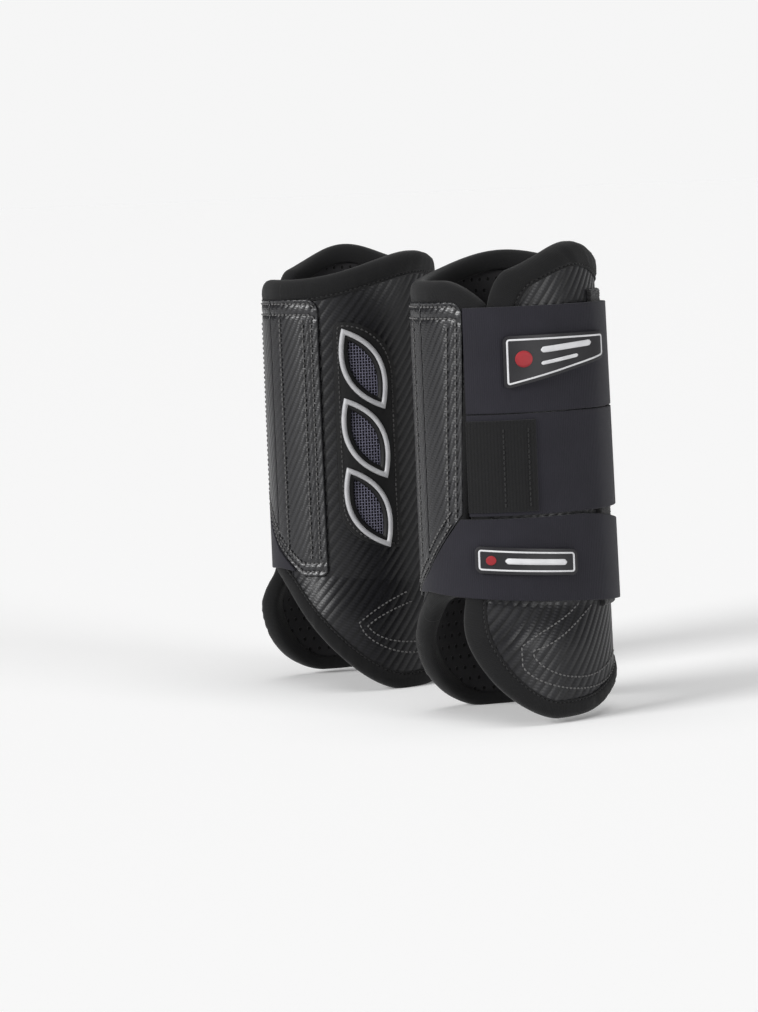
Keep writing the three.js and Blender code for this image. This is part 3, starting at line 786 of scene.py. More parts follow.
def stitches_in_tape(outer_path, inner_path):
    angle_0, z_0, angle_1, z_1 = resample(TAPE_STEP, *outer_path, *inner_path)
    return lerp(angle_0, angle_1, TAPE_STITCH_AT), lerp(z_0, z_1, TAPE_STITCH_AT)


def add_binding(side):
    for part in SOFT_PARTS:
        paths = [rim_path(part["outline"](inset), part["slit_end"]) for inset in (0, 1)]
        name = "binding" + part["ending"]
        tape = strip(name, side, tape_rails(*paths, part["seed"]), LOOKS["binding"])
        settle(tape, side, part["body"], part["binding"])
        sewn = stitches(name + "_stitches", side, [stitches_in_tape(*paths)], TAPE_STITCH_OUT, "dark_thread")
        settle(sewn, side, part["body"])


# ---- Thin round pieces: stitches, net threads, hooks and tufts ----
STITCH_PITCH = 2.7
STITCH_LENGTH = 1.8
STITCH_RADIUS = 0.42
STITCH_SECTION = (0.45, 1.0, 1.0, 1.0, 0.45)      # its radius along a stitch, as shares
STITCH_LIFT = np.array([-0.35, 0.05, 0.15, 0.05, -0.35])


def tubes(name, side, paths, radius, material, around=6, section=None):
    """One mesh of closed round tubes along paths of points in metres. section scales the radius."""
    turn = np.linspace(0, 2 * np.pi, around, endpoint=False)
    axis = np.array([0, (-1 if side == "left" else 1) * LEG_SPACING / 2 * MM, 0])
    points, faces, uv, start = [], [], [], 0
    for path in paths:
        count = len(path)
        along = np.gradient(path, axis=0)
        along /= np.linalg.norm(along, axis=1)[:, None]
        outwards = (path - axis) * (1, 1, 0)
        across = np.cross(along, outwards + (0, 0, 1e-6))
        across /= np.linalg.norm(across, axis=1)[:, None]
        upright = np.cross(across, along)
        scale = radius * MM * (np.ones(count) if section is None else np.array(section))
        ring = np.cos(turn)[:, None] * across[:, None] - np.sin(turn)[:, None] * upright[:, None]
        points.append((path[:, None] + ring * scale[:, None, None]).reshape(-1, 3))
        lengths = lengths_along(path) / MM
        uv.append(np.stack(np.meshgrid(lengths, turn * radius, indexing="ij"), axis=-1).reshape(-1, 2))
        i, j = np.meshgrid(np.arange(count - 1), np.arange(around), indexing="ij")
        k = (j + 1) % around
        here, after = i * around, (i + 1) * around
        quads = np.stack([here + j, here + k, after + k, after + j], axis=-1)
        faces += (quads.reshape(-1, 4) + start).tolist()
        first_end = start + np.arange(around)
        faces += [first_end[::-1].tolist(), (first_end + (count - 1) * around).tolist()]
        start += count * around
    points, uv = np.concatenate(points), np.concatenate(uv)
    return make_mesh(name, side, points, faces, uv, LOOKS[material], mirrored=False)


def stitches(name, side, rows, out, thread):
    """Stitches along rows of (angle, z) tracks. The distance out is a number or a function of the angle."""
    paths = []
    for angle, z in rows:
        angle, z = resample(0.5, np.asarray(angle, float), np.asarray(z, float))
        lengths = lengths_along(on_leg(angle, z, SHELL_OUT))
        for first in np.arange(0.5, lengths[-1] - STITCH_LENGTH, STITCH_PITCH):
            places = np.linspace(first, first + STITCH_LENGTH, len(STITCH_SECTION))
            at = np.interp(places, lengths, angle)
            level = out(at) if callable(out) else out
            paths.append(place(side, at, np.interp(places, lengths, z), level + STITCH_LIFT))
    sewn = tubes(name, side, paths, STITCH_RADIUS, thread, section=STITCH_SECTION)
    return sewn


def distance_to_rows(angle, z, rows):
    """Distance in millimetres from each place to the nearest row."""
    along = arc(angle)
    nearest = np.full(angle.shape, np.inf)
    for row_angle, row_z in rows:
        x, y = arc(np.asarray(row_angle, float)), np.asarray(row_z, float)
        for x_0, y_0, x_1, y_1 in zip(x, y, x[1:], y[1:]):
            length = max((x_1 - x_0) ** 2 + (y_1 - y_0) ** 2, 1e-6)
            share = np.clip(((along - x_0) * (x_1 - x_0) + (z - y_0) * (y_1 - y_0)) / length, 0, 1)
            away = np.hypot(along - lerp(x_0, x_1, share), z - lerp(y_0, y_1, share))
            nearest = np.minimum(nearest, away)
    return nearest


def sewn_in(angle, z, rows, depth=0.5, width=1.3):
    """How far rows of stitches pull a face down."""
    return depth * np.exp(-(distance_to_rows(angle, z, rows) / width) ** 2)


def edge_drop(angle, z, radius, first=True, last=True):
    """How far a sheet's face falls off towards its edges. Its first and last column may stay square."""
    along = arc(angle)
    from_first = along - along[:1] if first else np.full(angle.shape, np.inf)
    from_last = along[-1:] - along if last else np.full(angle.shape, np.inf)
    to_side = np.minimum(from_first, from_last)
    to_end = np.minimum(z - z[:, :1], z[:, -1:] - z)
    into = 1 - np.clip(np.minimum(to_side, to_end) / radius, 0, 1)
    return radius * ellipse_drop(into)


NEAR_EDGE = (0.002, 0.005, 0.01, 0.018)


# ---- Front panels ----
PANEL_ROUNDING = 0.7
LAYER_SUNK = 0.2                  # how far a sewn layer reaches into the one below it
PANEL_ROW_DROPS = (2.4, 8.3)      # how far below the panels' top edge the two rows of stitches run
INNER_ROW_RISES = (2.6, 7.2)      # and how far above their lower edges
OUTER_ROW_RISES = (2.6, 9.0)
INNER_COLUMNS = (322, 328)        # angles of the upright rows of stitches on the inner panel
OUTER_COLUMNS = (                 # the upright rows on the outer panel, as angles and heights
    ((20.5, 22.0, 24.8), (101, 150, 205)),
    ((26.7, 28.8, 31.3), (106, 155, 206)),
)
COLUMN_BY_SEAM = -12.0
INNER_PANEL_CORNER = 4.5          # degrees over which its lower corner rounds off
INNER_PANEL_CORNER_RISE = 3.5


def inner_panel_low(angle):
    into = np.clip((INNER_PANEL_EDGE + INNER_PANEL_CORNER - angle) / INNER_PANEL_CORNER, 0, 1)
    diagonal = DIAGONAL_AT_SEAM + INNER_DIAGONAL_SLOPE * (angle - 360)
    return np.maximum(INNER_PANEL_LOW, diagonal) + INNER_PANEL_CORNER_RISE * ellipse_drop(into)


def panel_high(past_corner):
    """A panel's top edge, which rounds off past its corner by the outer edge."""
    return PANEL_TOP - PANEL_CORNER_DROP * ellipse_drop(np.clip(past_corner / PANEL_CORNER, 0, 1))


def inner_panel_high(angle):
    return panel_high(INNER_PANEL_EDGE + PANEL_CORNER - angle)


def outer_panel_low(angle):
    return DIAGONAL_AT_SEAM + OUTER_DIAGONAL_SLOPE * angle


def outer_panel_high(angle):
    return panel_high(angle - OUTER_PANEL_EDGE_HIGH + PANEL_CORNER)


def rows_along(across, edge, distances):
    """Rows of stitches that follow an edge at distances above it."""
    return [(across, edge(across) + distance) for distance in distances]


def rows_of_inner_panel():
    across = np.linspace(INNER_PANEL_EDGE + 2, 360 - SEAM_GAP, 30)
    tops = rows_along(across, inner_panel_high, -np.array(PANEL_ROW_DROPS))
    lows = rows_along(across, inner_panel_low, INNER_ROW_RISES)
    columns = [((angle, angle), (inner_panel_low(angle) + 9, PANEL_TOP - 10)) for angle in INNER_COLUMNS]
    by_seam = [((360 + COLUMN_BY_SEAM,) * 2, (79, 210))]
    return tops + lows + columns + by_seam


def rows_of_outer_panel():
    across = np.linspace(SEAM_GAP, OUTER_PANEL_EDGE_HIGH - 2, 30)
    below = np.linspace(SEAM_GAP, 24, 12)
    tops = rows_along(across, outer_panel_high, -np.array(PANEL_ROW_DROPS))
    lows = rows_along(below, outer_panel_low, OUTER_ROW_RISES)
    return tops + list(OUTER_COLUMNS) + lows


def add_panel(name, side, outline, rows, body):
    angle, z = cloth_grid(outline, NEAR_EDGE)
    ribs = twill_relief(side, angle, z, PANEL_TWILL)
    drop = edge_drop(angle, z, PANEL_ROUNDING) + sewn_in(angle, z, rows)
    outer = PANEL_OUT - PANEL_TWILL["depth"] + ribs - drop
    panel = slab(name, side, angle, z, SHELL_OUT - LAYER_SUNK, outer, LOOKS["front_panel"])
    settle(panel, side, body, name)
    settle(stitches(f"{name}_stitches", side, rows, PANEL_OUT - 0.1, "panel_thread"), side, body)


def add_front_panels(side):
    inner = straight_outline(INNER_PANEL_EDGE, 360 - SEAM_GAP, inner_panel_low, inner_panel_high)
    outer = (
        straight_edge(SEAM_GAP, OUTER_PANEL_EDGE_LOW, outer_panel_low),
        straight_edge(SEAM_GAP, OUTER_PANEL_EDGE_HIGH, outer_panel_high),
    )
    add_panel("inner_front_panel", side, inner, rows_of_inner_panel(), "root")
    add_panel("outer_front_panel", side, outer, rows_of_outer_panel(), f"{side}_flap")


# ---- Vents ----
LEAF_POINTS = 48                  # along each of a leaf's two sides
FRAME_FOLD = (                    # the frame's section: distance in from the leaf's edge, distance out
    (0.0, 9.2), (0.0, 10.2), (0.25, 10.9), (0.7, 11.4), (1.4, 11.6),
    (2.1, 11.4), (2.6, 10.9), (2.8, 10.2), (2.8, 9.2),
)
LIP_FOLD = (                      # and the section of the dark lip inside it
    (2.6, 9.0), (2.6, 10.3), (3.0, 10.5), (3.8, 10.1), (4.6, 9.4), (5.1, 8.6), (4.8, 7.6), (2.6, 7.6),
)
SURROUND_OUT = 9.5
SURROUND_STITCHES_IN = 2.2        # how far in from its edge the surround is sewn
PRISM_REACH = 14                  # a cutting prism goes this far to each side of the lining's face
NET_PITCH = 1.6
NET_RADIUS = 0.27
NET_OUT = 7.9
BACKING_FACES = (5.2, 6.4)        # distances out of the two faces of the cloth behind the net
VENT_PLANE_ANGLES = np.linspace(245, 335, 400)


def vent_basis(z):
    centre = on_leg(VENT_ANGLE, z, LINING_OUT)
    backwards = on_leg(VENT_ANGLE - 1, z, LINING_OUT) - on_leg(VENT_ANGLE + 1, z, LINING_OUT)
    backwards /= np.linalg.norm(backwards)
    return centre, backwards


def vent_angles(x, z, out=PANEL_OUT):
    """The angle round the leg of places x millimetres backwards in the vents' plane."""
    centre, backwards = vent_basis(z)
    reach = (on_leg(VENT_PLANE_ANGLES, z, out) - centre) @ backwards
    return np.interp(x, reach[::-1], VENT_PLANE_ANGLES[::-1])


def bezier(points, count):
    a, b, c, d = (np.array(point) for point in points)
    t = np.linspace(0, 1, count)[:, None]
    return a * (1 - t) ** 3 + 3 * b * t * (1 - t) ** 2 + 3 * c * t ** 2 * (1 - t) + d * t ** 3


def moved_left(points, along, width):
    """Points moved to the left of the way along them."""
    along = along / np.linalg.norm(along, axis=1)[:, None]
    return points + width * np.stack([-along[:, 1], along[:, 0]], axis=-1)


def leaf_side(inset):
    """One bowed side of the leaf, moved inwards and cut where it meets the other side."""
    side = bezier(LEAF_BOW, 400)
    moved = moved_left(side, np.gradient(side, axis=0), inset)
    if inset > 0:
        away = np.linalg.norm(moved[:, None] + side[None, ::4], axis=-1).min(axis=1)
        moved = moved[away >= inset]
    lengths = lengths_along(moved)
    places = np.linspace(0, lengths[-1], LEAF_POINTS)
    return np.stack([np.interp(places, lengths, moved[:, i]) for i in (0, 1)], axis=-1)


def leaf(inset):
    """The leaf's counter-clockwise outline in the vents' plane: a side, and that side turned half round."""
    side = leaf_side(inset)
    return np.concatenate([side[:-1], -side[:-1]])


def ring_of_leaf(height, fold):
    """Rails for a strip round a leaf, whose section is a row of (distance in, distance out)."""
    rings = [leaf(max(inset, 0.001)) for inset, _ in fold]
    angle = np.stack([vent_angles(ring[:, 0], height) for ring in rings], axis=1)
    z = np.stack([height + ring[:, 1] for ring in rings], axis=1)
    out = np.tile([level for _, level in fold], (len(rings[0]), 1))
    return angle, z, out


def prism(name, side, points, height):
    """A closed prism through the boot's wall, from an outline in the vents' plane."""
    centre, backwards = vent_basis(height)
    outwards = np.cross(backwards, (0, 0, 1))
    flat = centre + points[:, :1] * backwards + points[:, 1:] * np.array((0, 0, 1))
    ends = np.concatenate([flat - PRISM_REACH * outwards, flat + PRISM_REACH * outwards]) * MM
    ends[:, 1] -= LEG_SPACING / 2 * MM
    if side == "right":
        ends[:, 1] *= -1
    count = len(points)
    sides = [[i, (i + 1) % count, (i + 1) % count + count, i + count] for i in range(count)]
    faces = sides + [list(range(count))[::-1], list(range(count, 2 * count))]
    return face_out(make_mesh(name, side, ends, faces, ends[:, :2] / MM, LOOKS["surround"]))


def surround_outline():
    """An upright strip with its upper back and lower front corners swept round, counter-clockwise."""
    front, back, low, high = (SURROUND[key] for key in ("front", "back", "low", "high"))
    corners = (
        ((front + 3, high), (front, high - 1), (front, high - 4), (front, high - 8)),
        ((front, low + SURROUND["sweep_front"]), (front, low + 8), (0, low + 1), (back - 3, low)),
        ((back - 3, low), (back, low), (back, low + 2), (back, low + 4)),
        ((back, high - SURROUND["sweep_back"]), (back, high - 10), (2, high + 1), (front + 3, high)),
    )
    return np.concatenate([bezier(corner, 14)[:-1] for corner in corners])


def drawn_in(points, width):
    """A closed counter-clockwise outline moved inwards."""
    return moved_left(points, np.roll(points, -1, axis=0) - np.roll(points, 1, axis=0), width)


def add_vent_surround(side):
    middle = VENT_HEIGHTS["middle"]
    outline = surround_outline()
    angles = vent_angles(np.array([outline[:, 0].max() + 6, outline[:, 0].min() - 6]), middle)
    angle, z = np.meshgrid(np.linspace(*angles, 60), np.linspace(70, 210, 60), indexing="ij")
    inner = SHELL_OUT - LAYER_SUNK
    surround = slab("vent_surround", side, angle, z, inner, SURROUND_OUT, LOOKS["surround"])
    cut(surround, prism("surround_tool", side, outline, middle), "INTERSECT")
    cut_vents(surround, side, "root")
    soften(surround, 0.35)
    settle(surround, side, "root", "vent_surround")
    row = drawn_in(outline, SURROUND_STITCHES_IN)
    row = np.concatenate([row, row[:1]])
    track = (vent_angles(row[:, 0], middle), middle + row[:, 1])
    sewn = stitches("vent_surround_stitches", side, [track], SURROUND_OUT + 0.1, "shaded_surround_thread")
    settle(sewn, side, "root")


def net_threads(side, height):
    """The paths of a woven net's threads inside a leaf."""
    outline = leaf(VENT_RIM)
    paths = []
    for axis, other in ((0, 1), (1, 0)):
        lines = np.arange(outline[:, axis].min() + 0.6, outline[:, axis].max(), NET_PITCH)
        for number, line in enumerate(lines):
            crossings = crossings_of(outline, axis, line)
            if len(crossings) < 2 or crossings[-1] - crossings[0] < 1:
                continue
            run = np.arange(crossings[0], crossings[-1], NET_PITCH / 4)
            wave = np.sin(np.pi * run / NET_PITCH + np.pi * (number + axis))
            local = np.zeros((len(run), 2))
            local[:, axis], local[:, other] = line, run
            angle = vent_angles(local[:, 0], height, NET_OUT)
            paths.append(place(side, angle, height + local[:, 1], NET_OUT + NET_RADIUS * wave))
    return paths


def crossings_of(outline, axis, line):
    """Where an outline crosses a line on which one coordinate is fixed."""
    first, second = outline, np.roll(outline, -1, axis=0)
    across = (first[:, axis] - line) * (second[:, axis] - line) < 0
    a, b = first[across], second[across]
    share = (line - a[:, axis]) / (b[:, axis] - a[:, axis])
    return np.sort(lerp(a[:, 1 - axis], b[:, 1 - axis], share))


def add_vents(side):
    add_vent_surround(side)
    for name, height in VENT_HEIGHTS.items():
        frame_rails, lip_rails = ring_of_leaf(height, FRAME_FOLD), ring_of_leaf(height, LIP_FOLD)
        rim = strip(f"vent_frame_{name}", side, frame_rails, LOOKS["rim"], closed=True)
        settle(rim, side, "root", f"vent_frame_{name}")
        lip = strip(f"vent_lip_{name}", side, lip_rails, LOOKS["lip"], closed=True)
        settle(lip, side, "root")
        net = tubes(f"vent_mesh_{name}", side, net_threads(side, height), NET_RADIUS, "mesh", around=5)
        settle(net, side, "root", f"vent_mesh_{name}")
        add_net_backing(name, side, height)


def add_net_backing(name, side, height):
    outline = leaf_side(VENT_RIM - 0.6)
    share = np.linspace(0, 1, 9)
    one, other = outline[1:-1], -outline[::-1][1:-1]
    x = lerp(one[:, :1], other[:, :1], share)
    z = lerp(one[:, 1:], other[:, 1:], share)
    angle = vent_angles(x, height, LINING_OUT)[::-1]
    z = height + z[::-1]
    backing = slab(f"vent_backing_{name}", side, angle, z, *BACKING_FACES, LOOKS["mesh_backing"])
    settle(face_out(backing), side, "root")


# ---- Straps ----
STRAP_EDGE = 0.5
STRAP_FROM_END = 4.0              # degrees on each side of a strap's hinge; its top edge starts to slope from the near side, and nothing bends the strap there
TAB_FROM_STRAP = 0.2
TAB_THICKNESS = 1.1
TAB_TO = 77.5
TAB_LOW, TAB_HIGH = 109.0, 155.5
HOOK_OUT = 11.9
HOOK_BASE = 11.45
HOOK_TO = 174.0
HOOK_FROM_HINGE = 4.0
HOOK_MARGIN = 2.0
HOOK_PITCH = 2.4
HOOK_RADIUS = 0.13
HOOK_LEAN = np.array([0, 0, 0.25, 0.6])           # a hook's path: how far it leans up
HOOK_REACH = np.array([0, 0.3, 0.45, 0.35])       # and how far it stands off the tab
TAB_ROWS = [((at, at), (TAB_LOW + 2, TAB_HIGH - 2)) for at in (58.5, 72.8)]
GUSSET_FROM = -17.0
PILE_SEED = 5
PILE_TUFTS = 4200
PILE_OUT = LOOP_OUT - 0.3
TUFT_RADIUS = 0.09
TUFT_REACH = np.array([0, 0.5, 1.0, 0.6])         # a tuft's path: how far it goes along the panel
TUFT_LIFT = np.array([-0.5, 0.15, 0.25, -0.15])   # and how far out


def strap_inner(angle):
    climb = smoothstep(angle, *STRAP_RAMP)
    return lerp(STRAP_IN, STRAP_IN_OVER_LOOP, climb)


def strap_outer(angle):
    return strap_inner(angle) + STRAP_THICKNESS


def lower_strap_low(angle):
    return flare_top(angle) + STRAP_ABOVE_FLARE


def strap_low(name, angle):
    low = STRAPS[name]["low"]
    return lower_strap_low(angle) if low is None else low + np.zeros_like(angle)


def strap_high(name, angle):
    strap = STRAPS[name]
    share = smoothstep(angle, strap["joint"] - STRAP_FROM_END, STRAP_TIP)
    return lerp(strap["high"], strap["tip_high"], share)


def strap_outline(name, start, end, margin=0):
    def low(angle):
        return strap_low(name, angle) + margin

    def high(angle):
        return strap_high(name, angle) - margin

    return straight_outline(start, end, low, high)


def elastic_band(name, side, outline, columns, rows, **ends):
    """A band of stretch cloth with soft edges."""
    angle, z = outline_grid(*outline, columns, rows, edge=NEAR_EDGE)
    drop = edge_drop(angle, z, STRAP_EDGE, **ends)
    level = strap_inner(angle)
    band = slab(name, side, angle, z, level + drop * 0.5, level + STRAP_THICKNESS - drop, LOOKS["elastic"])
    return band


def add_strap(name, side):
    strap = STRAPS[name]
    body = f"{side}_strap_{name}"
    bend = STRAP_ROOT + STRAP_BEND
    at_height = (strap["high"] - 20, STRAP_IN)
    whole = strap_outline(name, STRAP_ROOT, bend)
    root = elastic_band(f"strap_{name}_root", side, whole, 6, 40, first=False, last=False)
    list(seam_points(side, (STRAP_ROOT, bend), *at_height))
    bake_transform(root)
    length = elastic_band(f"strap_{name}", side, strap_outline(name, bend, STRAP_TIP), 90, 40, first=False)
    hinge = (strap["joint"] - STRAP_FROM_END, strap["joint"] + STRAP_FROM_END)
    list(seam_points(side, hinge, *at_height))
    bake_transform(length)
    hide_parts(body, f"{body}_end")
    hem_row = STRAP_TIP - 3
    track = ((hem_row, hem_row), (strap_low(name, hem_row) + 2, strap_high(name, hem_row) - 2))
    sewn = stitches(f"strap_{name}_stitches", side, [track], strap_outer, "dark_thread")
    settle(sewn, side, f"{body}_end")
    add_hook_tab(name, side)


def add_hook_tab(name, side):
    """The hook patch under a strap's free end, with its small hooks."""
    start = max(STRAPS[name]["joint"], LOOP_FROM) + HOOK_FROM_HINGE
    angle, z = outline_grid(*strap_outline(name, start, HOOK_TO, HOOK_MARGIN), 20, 12)
    tab = slab(f"hook_tab_{name}", side, angle, z, HOOK_BASE, HOOK_OUT, LOOKS["hook"])
    body = f"{side}_strap_{name}_end"
    settle(tab, side, body, f"hook_tab_{name}")
    paths = []
    for at in angle_at(np.arange(arc(start) + 1.5, arc(HOOK_TO) - 1, HOOK_PITCH)):
        lowest = strap_low(name, at) + HOOK_MARGIN + 1.5
        for height in np.arange(lowest, strap_high(name, at) - 3, HOOK_PITCH):
            paths.append(place(side, at, height + HOOK_LEAN, HOOK_BASE - HOOK_REACH))
    hooks = tubes(f"hook_tab_{name}_hooks", side, paths, HOOK_RADIUS, "hook", around=4)
    settle(hooks, side, body)


def gusset_high(angle):
    slope = np.where(angle < 0, INNER_DIAGONAL_SLOPE, OUTER_DIAGONAL_SLOPE)
    return np.minimum(STRAPS["lower"]["high"], DIAGONAL_AT_SEAM + slope * angle - 1)


def add_gusset(side):
    outline = straight_outline(GUSSET_FROM, STRAP_ROOT, lower_strap_low, gusset_high)
    gusset = elastic_band("strap_lower_gusset", side, outline, 40, 24, last=False)
    settle(gusset, side, SEAM, "strap_lower_gusset")


def add_anchor_tab(side):
    angle, z = cloth_grid(straight_outline(STRAP_ROOT, TAB_TO, TAB_LOW, TAB_HIGH), NEAR_EDGE)
    inner = strap_outer(angle) + TAB_FROM_STRAP
    drop = edge_drop(angle, z, STRAP_EDGE) + sewn_in(angle, z, TAB_ROWS, 0.3)
    ribs = 0.22 * np.abs(np.sin(np.pi * z / 1.9)) * (0.75 + 0.25 * np.sin(2 * np.pi * arc(angle) / 2.6))
    outer = inner + TAB_THICKNESS - 0.2 + ribs - drop
    tab = slab("strap_anchor_tab", side, angle, z, inner, outer, LOOKS["tab"])
    settle(tab, side, f"{side}_strap_middle", "strap_anchor_tab")
    sewn = stitches("strap_anchor_tab_stitches", side, TAB_ROWS, anchor_tab_outer, "dark_thread")
    settle(sewn, side, f"{side}_strap_middle")


def anchor_tab_outer(angle):
    return strap_outer(angle) + TAB_THICKNESS


def add_loop_panel(side):
    outline = straight_outline(LOOP_FROM, LOOP_TO, LOOP_LOW, LOOP_HIGH)
    chance = np.random.default_rng(PILE_SEED)
    angle, z = outline_grid(*outline, 70, 110, edge=NEAR_EDGE)
    outer = PILE_OUT - edge_drop(angle, z, 0.9) + chance.normal(0, 0.06, angle.shape)
    panel = slab("loop_panel", side, angle, z, SHELL_OUT - LAYER_SUNK, outer, LOOKS["loop"])
    settle(panel, side, "root", "loop_panel")
    angles = chance.uniform(LOOP_FROM + 1, LOOP_TO - 1, PILE_TUFTS)
    heights = chance.uniform(LOOP_LOW + 1, LOOP_HIGH - 1, PILE_TUFTS)
    paths = []
    for at, height in zip(angles, heights):
        turn = chance.uniform(0, 2 * np.pi)
        reach = TUFT_REACH * chance.uniform(0.6, 1.3)
        along = angle_at(arc(at) + reach * np.cos(turn))
        paths.append(place(side, along, height + reach * np.sin(turn), PILE_OUT + TUFT_LIFT))
    pile = tubes("loop_panel_pile", side, paths, TUFT_RADIUS, "loop", around=3)
    settle(pile, side, "root")


# ---- Badges ----
BADGE_LIFT = 0.4
BADGE_THICKNESS = 1.5
BADGE_RADIUS = 3.2
BADGE_SUNK = 0.35                 # how far a plate reaches down towards its strap
MARK_SUNK = 0.2                   # how far a mark reaches into its plate
BAR_RISE = 0.25
DISC_RISE = 0.35
BADGES = {                        # each bar: its start, end and middle as shares, and its height
    "upper": {
        "from": 60, "to": 127.5, "low": (171, 184.5), "high": (198, 198),
        "bars": {"bar_high": (0.32, 0.82, 0.66, 3.0), "bar_low": (0.32, 0.68, 0.36, 1.8)},
        "disc": (0.17, 0.52, 4.2),
    },
    "lower": {
        "from": 39.5, "to": 100, "low": (78.6, 74.6), "high": (92.4, 88.0),
        "bars": {"bar": (0.28, 0.88, 0.5, 3.0)},
        "disc": (0.15, 0.5, 2.4),
    },
}
BADGE_BORDER = ((1.6, -0.1), (1.65, 0.2), (1.9, 0.32), (2.3, 0.32), (2.5, 0.2), (2.55, -0.1))


def badge_length(badge):
    return arc(badge["to"]) - arc(badge["from"])


def badge_place(badge, x, share):
    """The place on a badge at a distance along it and a share of its height there."""
    along = x / badge_length(badge)
    height = lerp(lerp(*badge["low"], along), lerp(*badge["high"], along), share)
    return angle_at(arc(badge["from"]) + x), height


def badge_edges(badge, inset):
    """The lower and upper edge of a badge with rounded corners, drawn in, as (angle, z) tracks."""
    start, end = inset, badge_length(badge) - inset
    radius = max(BADGE_RADIUS - inset, 0.5)
    turn = radius * (1 - np.cos(np.linspace(0, np.pi / 2, 7)))
    straight = np.linspace(start + radius, end - radius, 44)[1:-1]
    x = np.concatenate([start + turn, straight, (end - turn)[::-1]])
    corner = ellipse_drop(np.clip((start + radius - x) / radius, 0, 1))
    corner = corner + ellipse_drop(np.clip((x - end + radius) / radius, 0, 1))
    angle, low = badge_place(badge, x, 0)
    _, high = badge_place(badge, x, 1)
    return (angle, low + inset + radius * corner), (angle, high - inset - radius * corner)


def plate_grid(edges, rows):
    (low_angle, low_z), (_, high_z) = edges
    share = np.linspace(0, 1, rows + 1)
    angle = np.tile(low_angle[:, None], (1, rows + 1))
    return angle, lerp(low_z[:, None], high_z[:, None], share)


def badge_level(angle):
    return strap_outer(angle) + BADGE_LIFT + BADGE_THICKNESS


def badge_border(badge):
    """Rails for the raised border that runs round a badge."""
    rings = []
    for inset, _ in BADGE_BORDER:
        low, high = badge_edges(badge, inset)
        rings.append([np.concatenate([there, back[::-1]]) for there, back in zip(low, high)])
    angle, z = np.moveaxis(np.array(rings), 0, -1)
    return angle, z, badge_level(angle) + np.array([rise for _, rise in BADGE_BORDER])


def add_badge(name, side):
    badge = BADGES[name]
    angle, z = plate_grid(badge_edges(badge, 0), 10)
    inner = strap_outer(angle) + BADGE_LIFT - BADGE_SUNK
    plate = slab(f"badge_{name}", side, angle, z, inner, badge_level(angle), LOOKS["badge"])
    soften(plate, 0.4, 3)
    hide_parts(f"{side}_badge_{name}")
    border = strip(f"badge_{name}_border", side, badge_border(badge), LOOKS["badge_print"], closed=True)
    bars = [badge_bar(f"badge_{name}_{bar}", side, badge, *sizes) for bar, sizes in badge["bars"].items()]
    disc = badge_disc(f"badge_{name}_disc", side, badge, *badge["disc"])
    for piece in (plate, border, *bars, disc):
        settle(piece, side, f"{side}_strap_{name}")


def raised_mark(name, side, angle, middle, half, rows, rise, look):
    """A mark that stands up from a badge, from its middle line and its half height along it."""
    angle, z = plate_grid(((angle, middle - half), (angle, middle + half)), rows)
    level = badge_level(angle)
    return slab(name, side, angle, z, level - MARK_SUNK, level + rise, LOOKS[look])


def badge_bar(name, side, badge, start, end, share, height):
    x = np.linspace(start * badge_length(badge), end * badge_length(badge), 30)
    angle, middle = badge_place(badge, x, share)
    near_end = np.minimum(x - x[0], x[-1] - x)
    half = height / 2 * (1 - ellipse_drop(np.clip(1 - near_end / (height / 2), 0, 0.98)))
    return raised_mark(name, side, angle, middle, half, 3, BAR_RISE, "badge_print")


def badge_disc(name, side, badge, start, share, radius):
    centre = start * badge_length(badge)
    x = centre - radius * np.cos(np.linspace(0.1, np.pi - 0.1, 25))
    half = np.sqrt(radius ** 2 - (x - centre) ** 2)
    angle, _ = badge_place(badge, x, share)
    _, middle = badge_place(badge, centre, share)
    return raised_mark(name, side, angle, middle, half, 6, DISC_RISE, "badge_mark")


# ---- Stitching on the lobes ----
LOBE_ROWS = (                     # each row's two runs, as angles and heights
    (((104, 90, 77, 64), (60, 53, 48, 41)), ((64, 73, 89, 108, 132, 152), (31, 24, 17.5, 15.5, 19, 26.5))),
    (((115, 97, 83, 70), (58, 49, 42.5, 38.5)), ((70, 79, 91, 108, 129, 150), (35.5, 28.5, 23, 22, 25, 32))),
    (((265, 283, 298), (53, 47, 38)), ((295, 285, 270, 252), (32.5, 25, 20, 19.5))),
    (((262, 281, 293), (47.5, 42.5, 36)), ((291, 282, 268, 250), (34, 28.5, 25.5, 25))),
)


def smooth_track(values, count=40):
    """A smooth run of values through a few given ones."""
    share = np.linspace(0, 1, len(values))
    return np.polyval(np.polyfit(share, values, min(3, len(values) - 1)), np.linspace(0, 1, count))


def add_lobe_stitches(side):
    rows = []
    for runs in LOBE_ROWS:
        tracks = [[smooth_track(values) for values in run] for run in runs]
        rows.append([np.concatenate(parts) for parts in zip(*tracks)])
    settle(stitches("lobe_stitches", side, rows, SHELL_OUT + 0.05, "panel_thread"), side, "root")


# ---- The pair ----
for side in SIDES:
    add_lining(side)
    add_shell(side)
    add_binding(side)
    add_front_panels(side)
    add_vents(side)
    add_loop_panel(side)
    for name in STRAPS:
        add_strap(name, side)
    add_gusset(side)
    add_anchor_tab(side)
    for name in BADGES:
        add_badge(name, side)
    add_lobe_stitches(side)
    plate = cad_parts[f"{side}_strike_plate"]
    plate.data.materials.clear()
    plate.data.materials.append(LOOKS["plate"])


# ---- Floor, light and camera ----
FLOOR_SIZE = 400.0
FLOOR_GLOW = 0.147
SEEN_STRENGTH = 0.92              # what the camera sees of the backdrop
AMBIENT_STRENGTH = 0.1            # what the backdrop lends to the light on the pieces
CAMERA_AT = (-0.948, -1.685, 0.274)
CAMERA_HEADING = (0.477, 0.879, 0.0)
CAMERA_PITCH = 5.02               # degrees down
CAMERA_ROLL = 2.3                 # degrees
CAMERA_LENS = 128.0


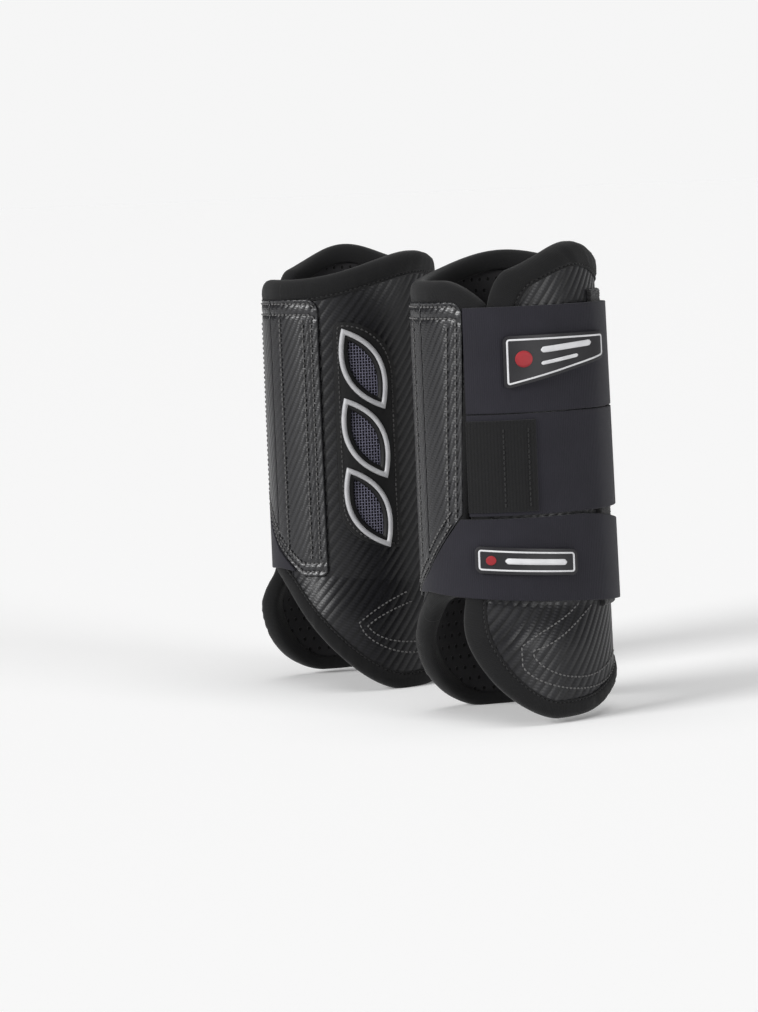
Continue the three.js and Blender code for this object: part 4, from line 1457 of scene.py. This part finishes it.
def add_floor():
    graph = Graph(
        "floor", Specular_IOR_Level=0.1, Base_Color=(0.9, 0.9, 0.9, 1), Roughness=0.9,
        Emission_Color=(1, 1, 1, 1), Emission_Strength=FLOOR_GLOW,
    )
    mesh = bpy.data.meshes.new("floor")
    half = FLOOR_SIZE / 2
    corners = [(-half, -half, 0), (half, -half, 0), (half, half, 0), (-half, half, 0)]
    mesh.from_pydata(corners, [], [(0, 1, 2, 3)])
    mesh.materials.append(graph.material)
    add_object("floor", mesh)


def add_sun(name, towards, strength, spread):
    light = bpy.data.lights.new(name, "SUN")
    light.energy = strength
    light.angle = math.radians(spread)
    add_object(name, light).rotation_euler = Vector(towards).to_track_quat("-Z", "Y").to_euler()


def add_world():
    world = bpy.data.worlds.new("studio")
    world.use_nodes = True
    nodes, links = world.node_tree.nodes, world.node_tree.links
    seen, ambient = nodes["Background"], nodes.new("ShaderNodeBackground")
    for light, strength in ((seen, SEEN_STRENGTH), (ambient, AMBIENT_STRENGTH)):
        light.inputs["Color"].default_value = (1, 1, 1, 1)
        light.inputs["Strength"].default_value = strength
    rays, either = nodes.new("ShaderNodeLightPath"), nodes.new("ShaderNodeMixShader")
    links.new(rays.outputs["Is Camera Ray"], either.inputs[0])
    links.new(ambient.outputs[0], either.inputs[1])
    links.new(seen.outputs[0], either.inputs[2])
    links.new(either.outputs[0], nodes["World Output"].inputs["Surface"])
    bpy.context.scene.world = world


def add_camera():
    forward = Vector(CAMERA_HEADING).normalized()
    right = forward.cross(Vector((0, 0, 1)))
    pitch, roll = math.radians(CAMERA_PITCH), math.radians(CAMERA_ROLL)
    up = Vector((0, 0, 1)) * math.cos(pitch) + forward * math.sin(pitch)
    forward = forward * math.cos(pitch) - Vector((0, 0, 1)) * math.sin(pitch)
    rolled_right = right * math.cos(roll) - up * math.sin(roll)
    rolled_up = right * math.sin(roll) + up * math.cos(roll)
    turn = Matrix((rolled_right, rolled_up, -forward)).transposed().to_4x4()
    camera = bpy.data.cameras.new("camera")
    camera.lens = CAMERA_LENS
    holder = add_object("camera", camera)
    holder.matrix_world = Matrix.Translation(CAMERA_AT) @ turn
    bpy.context.scene.camera = holder


add_floor()
add_world()
add_sun("left", (1.0, 0.12, -0.45), 2.5, 24)
add_sun("right", (-0.22, 1.0, -0.25), 1.15, 24)
add_sun("top", (0.1, 0.1, -1.0), 1.2, 60)
add_camera()
bpy.context.scene.view_settings.view_transform = "Standard"
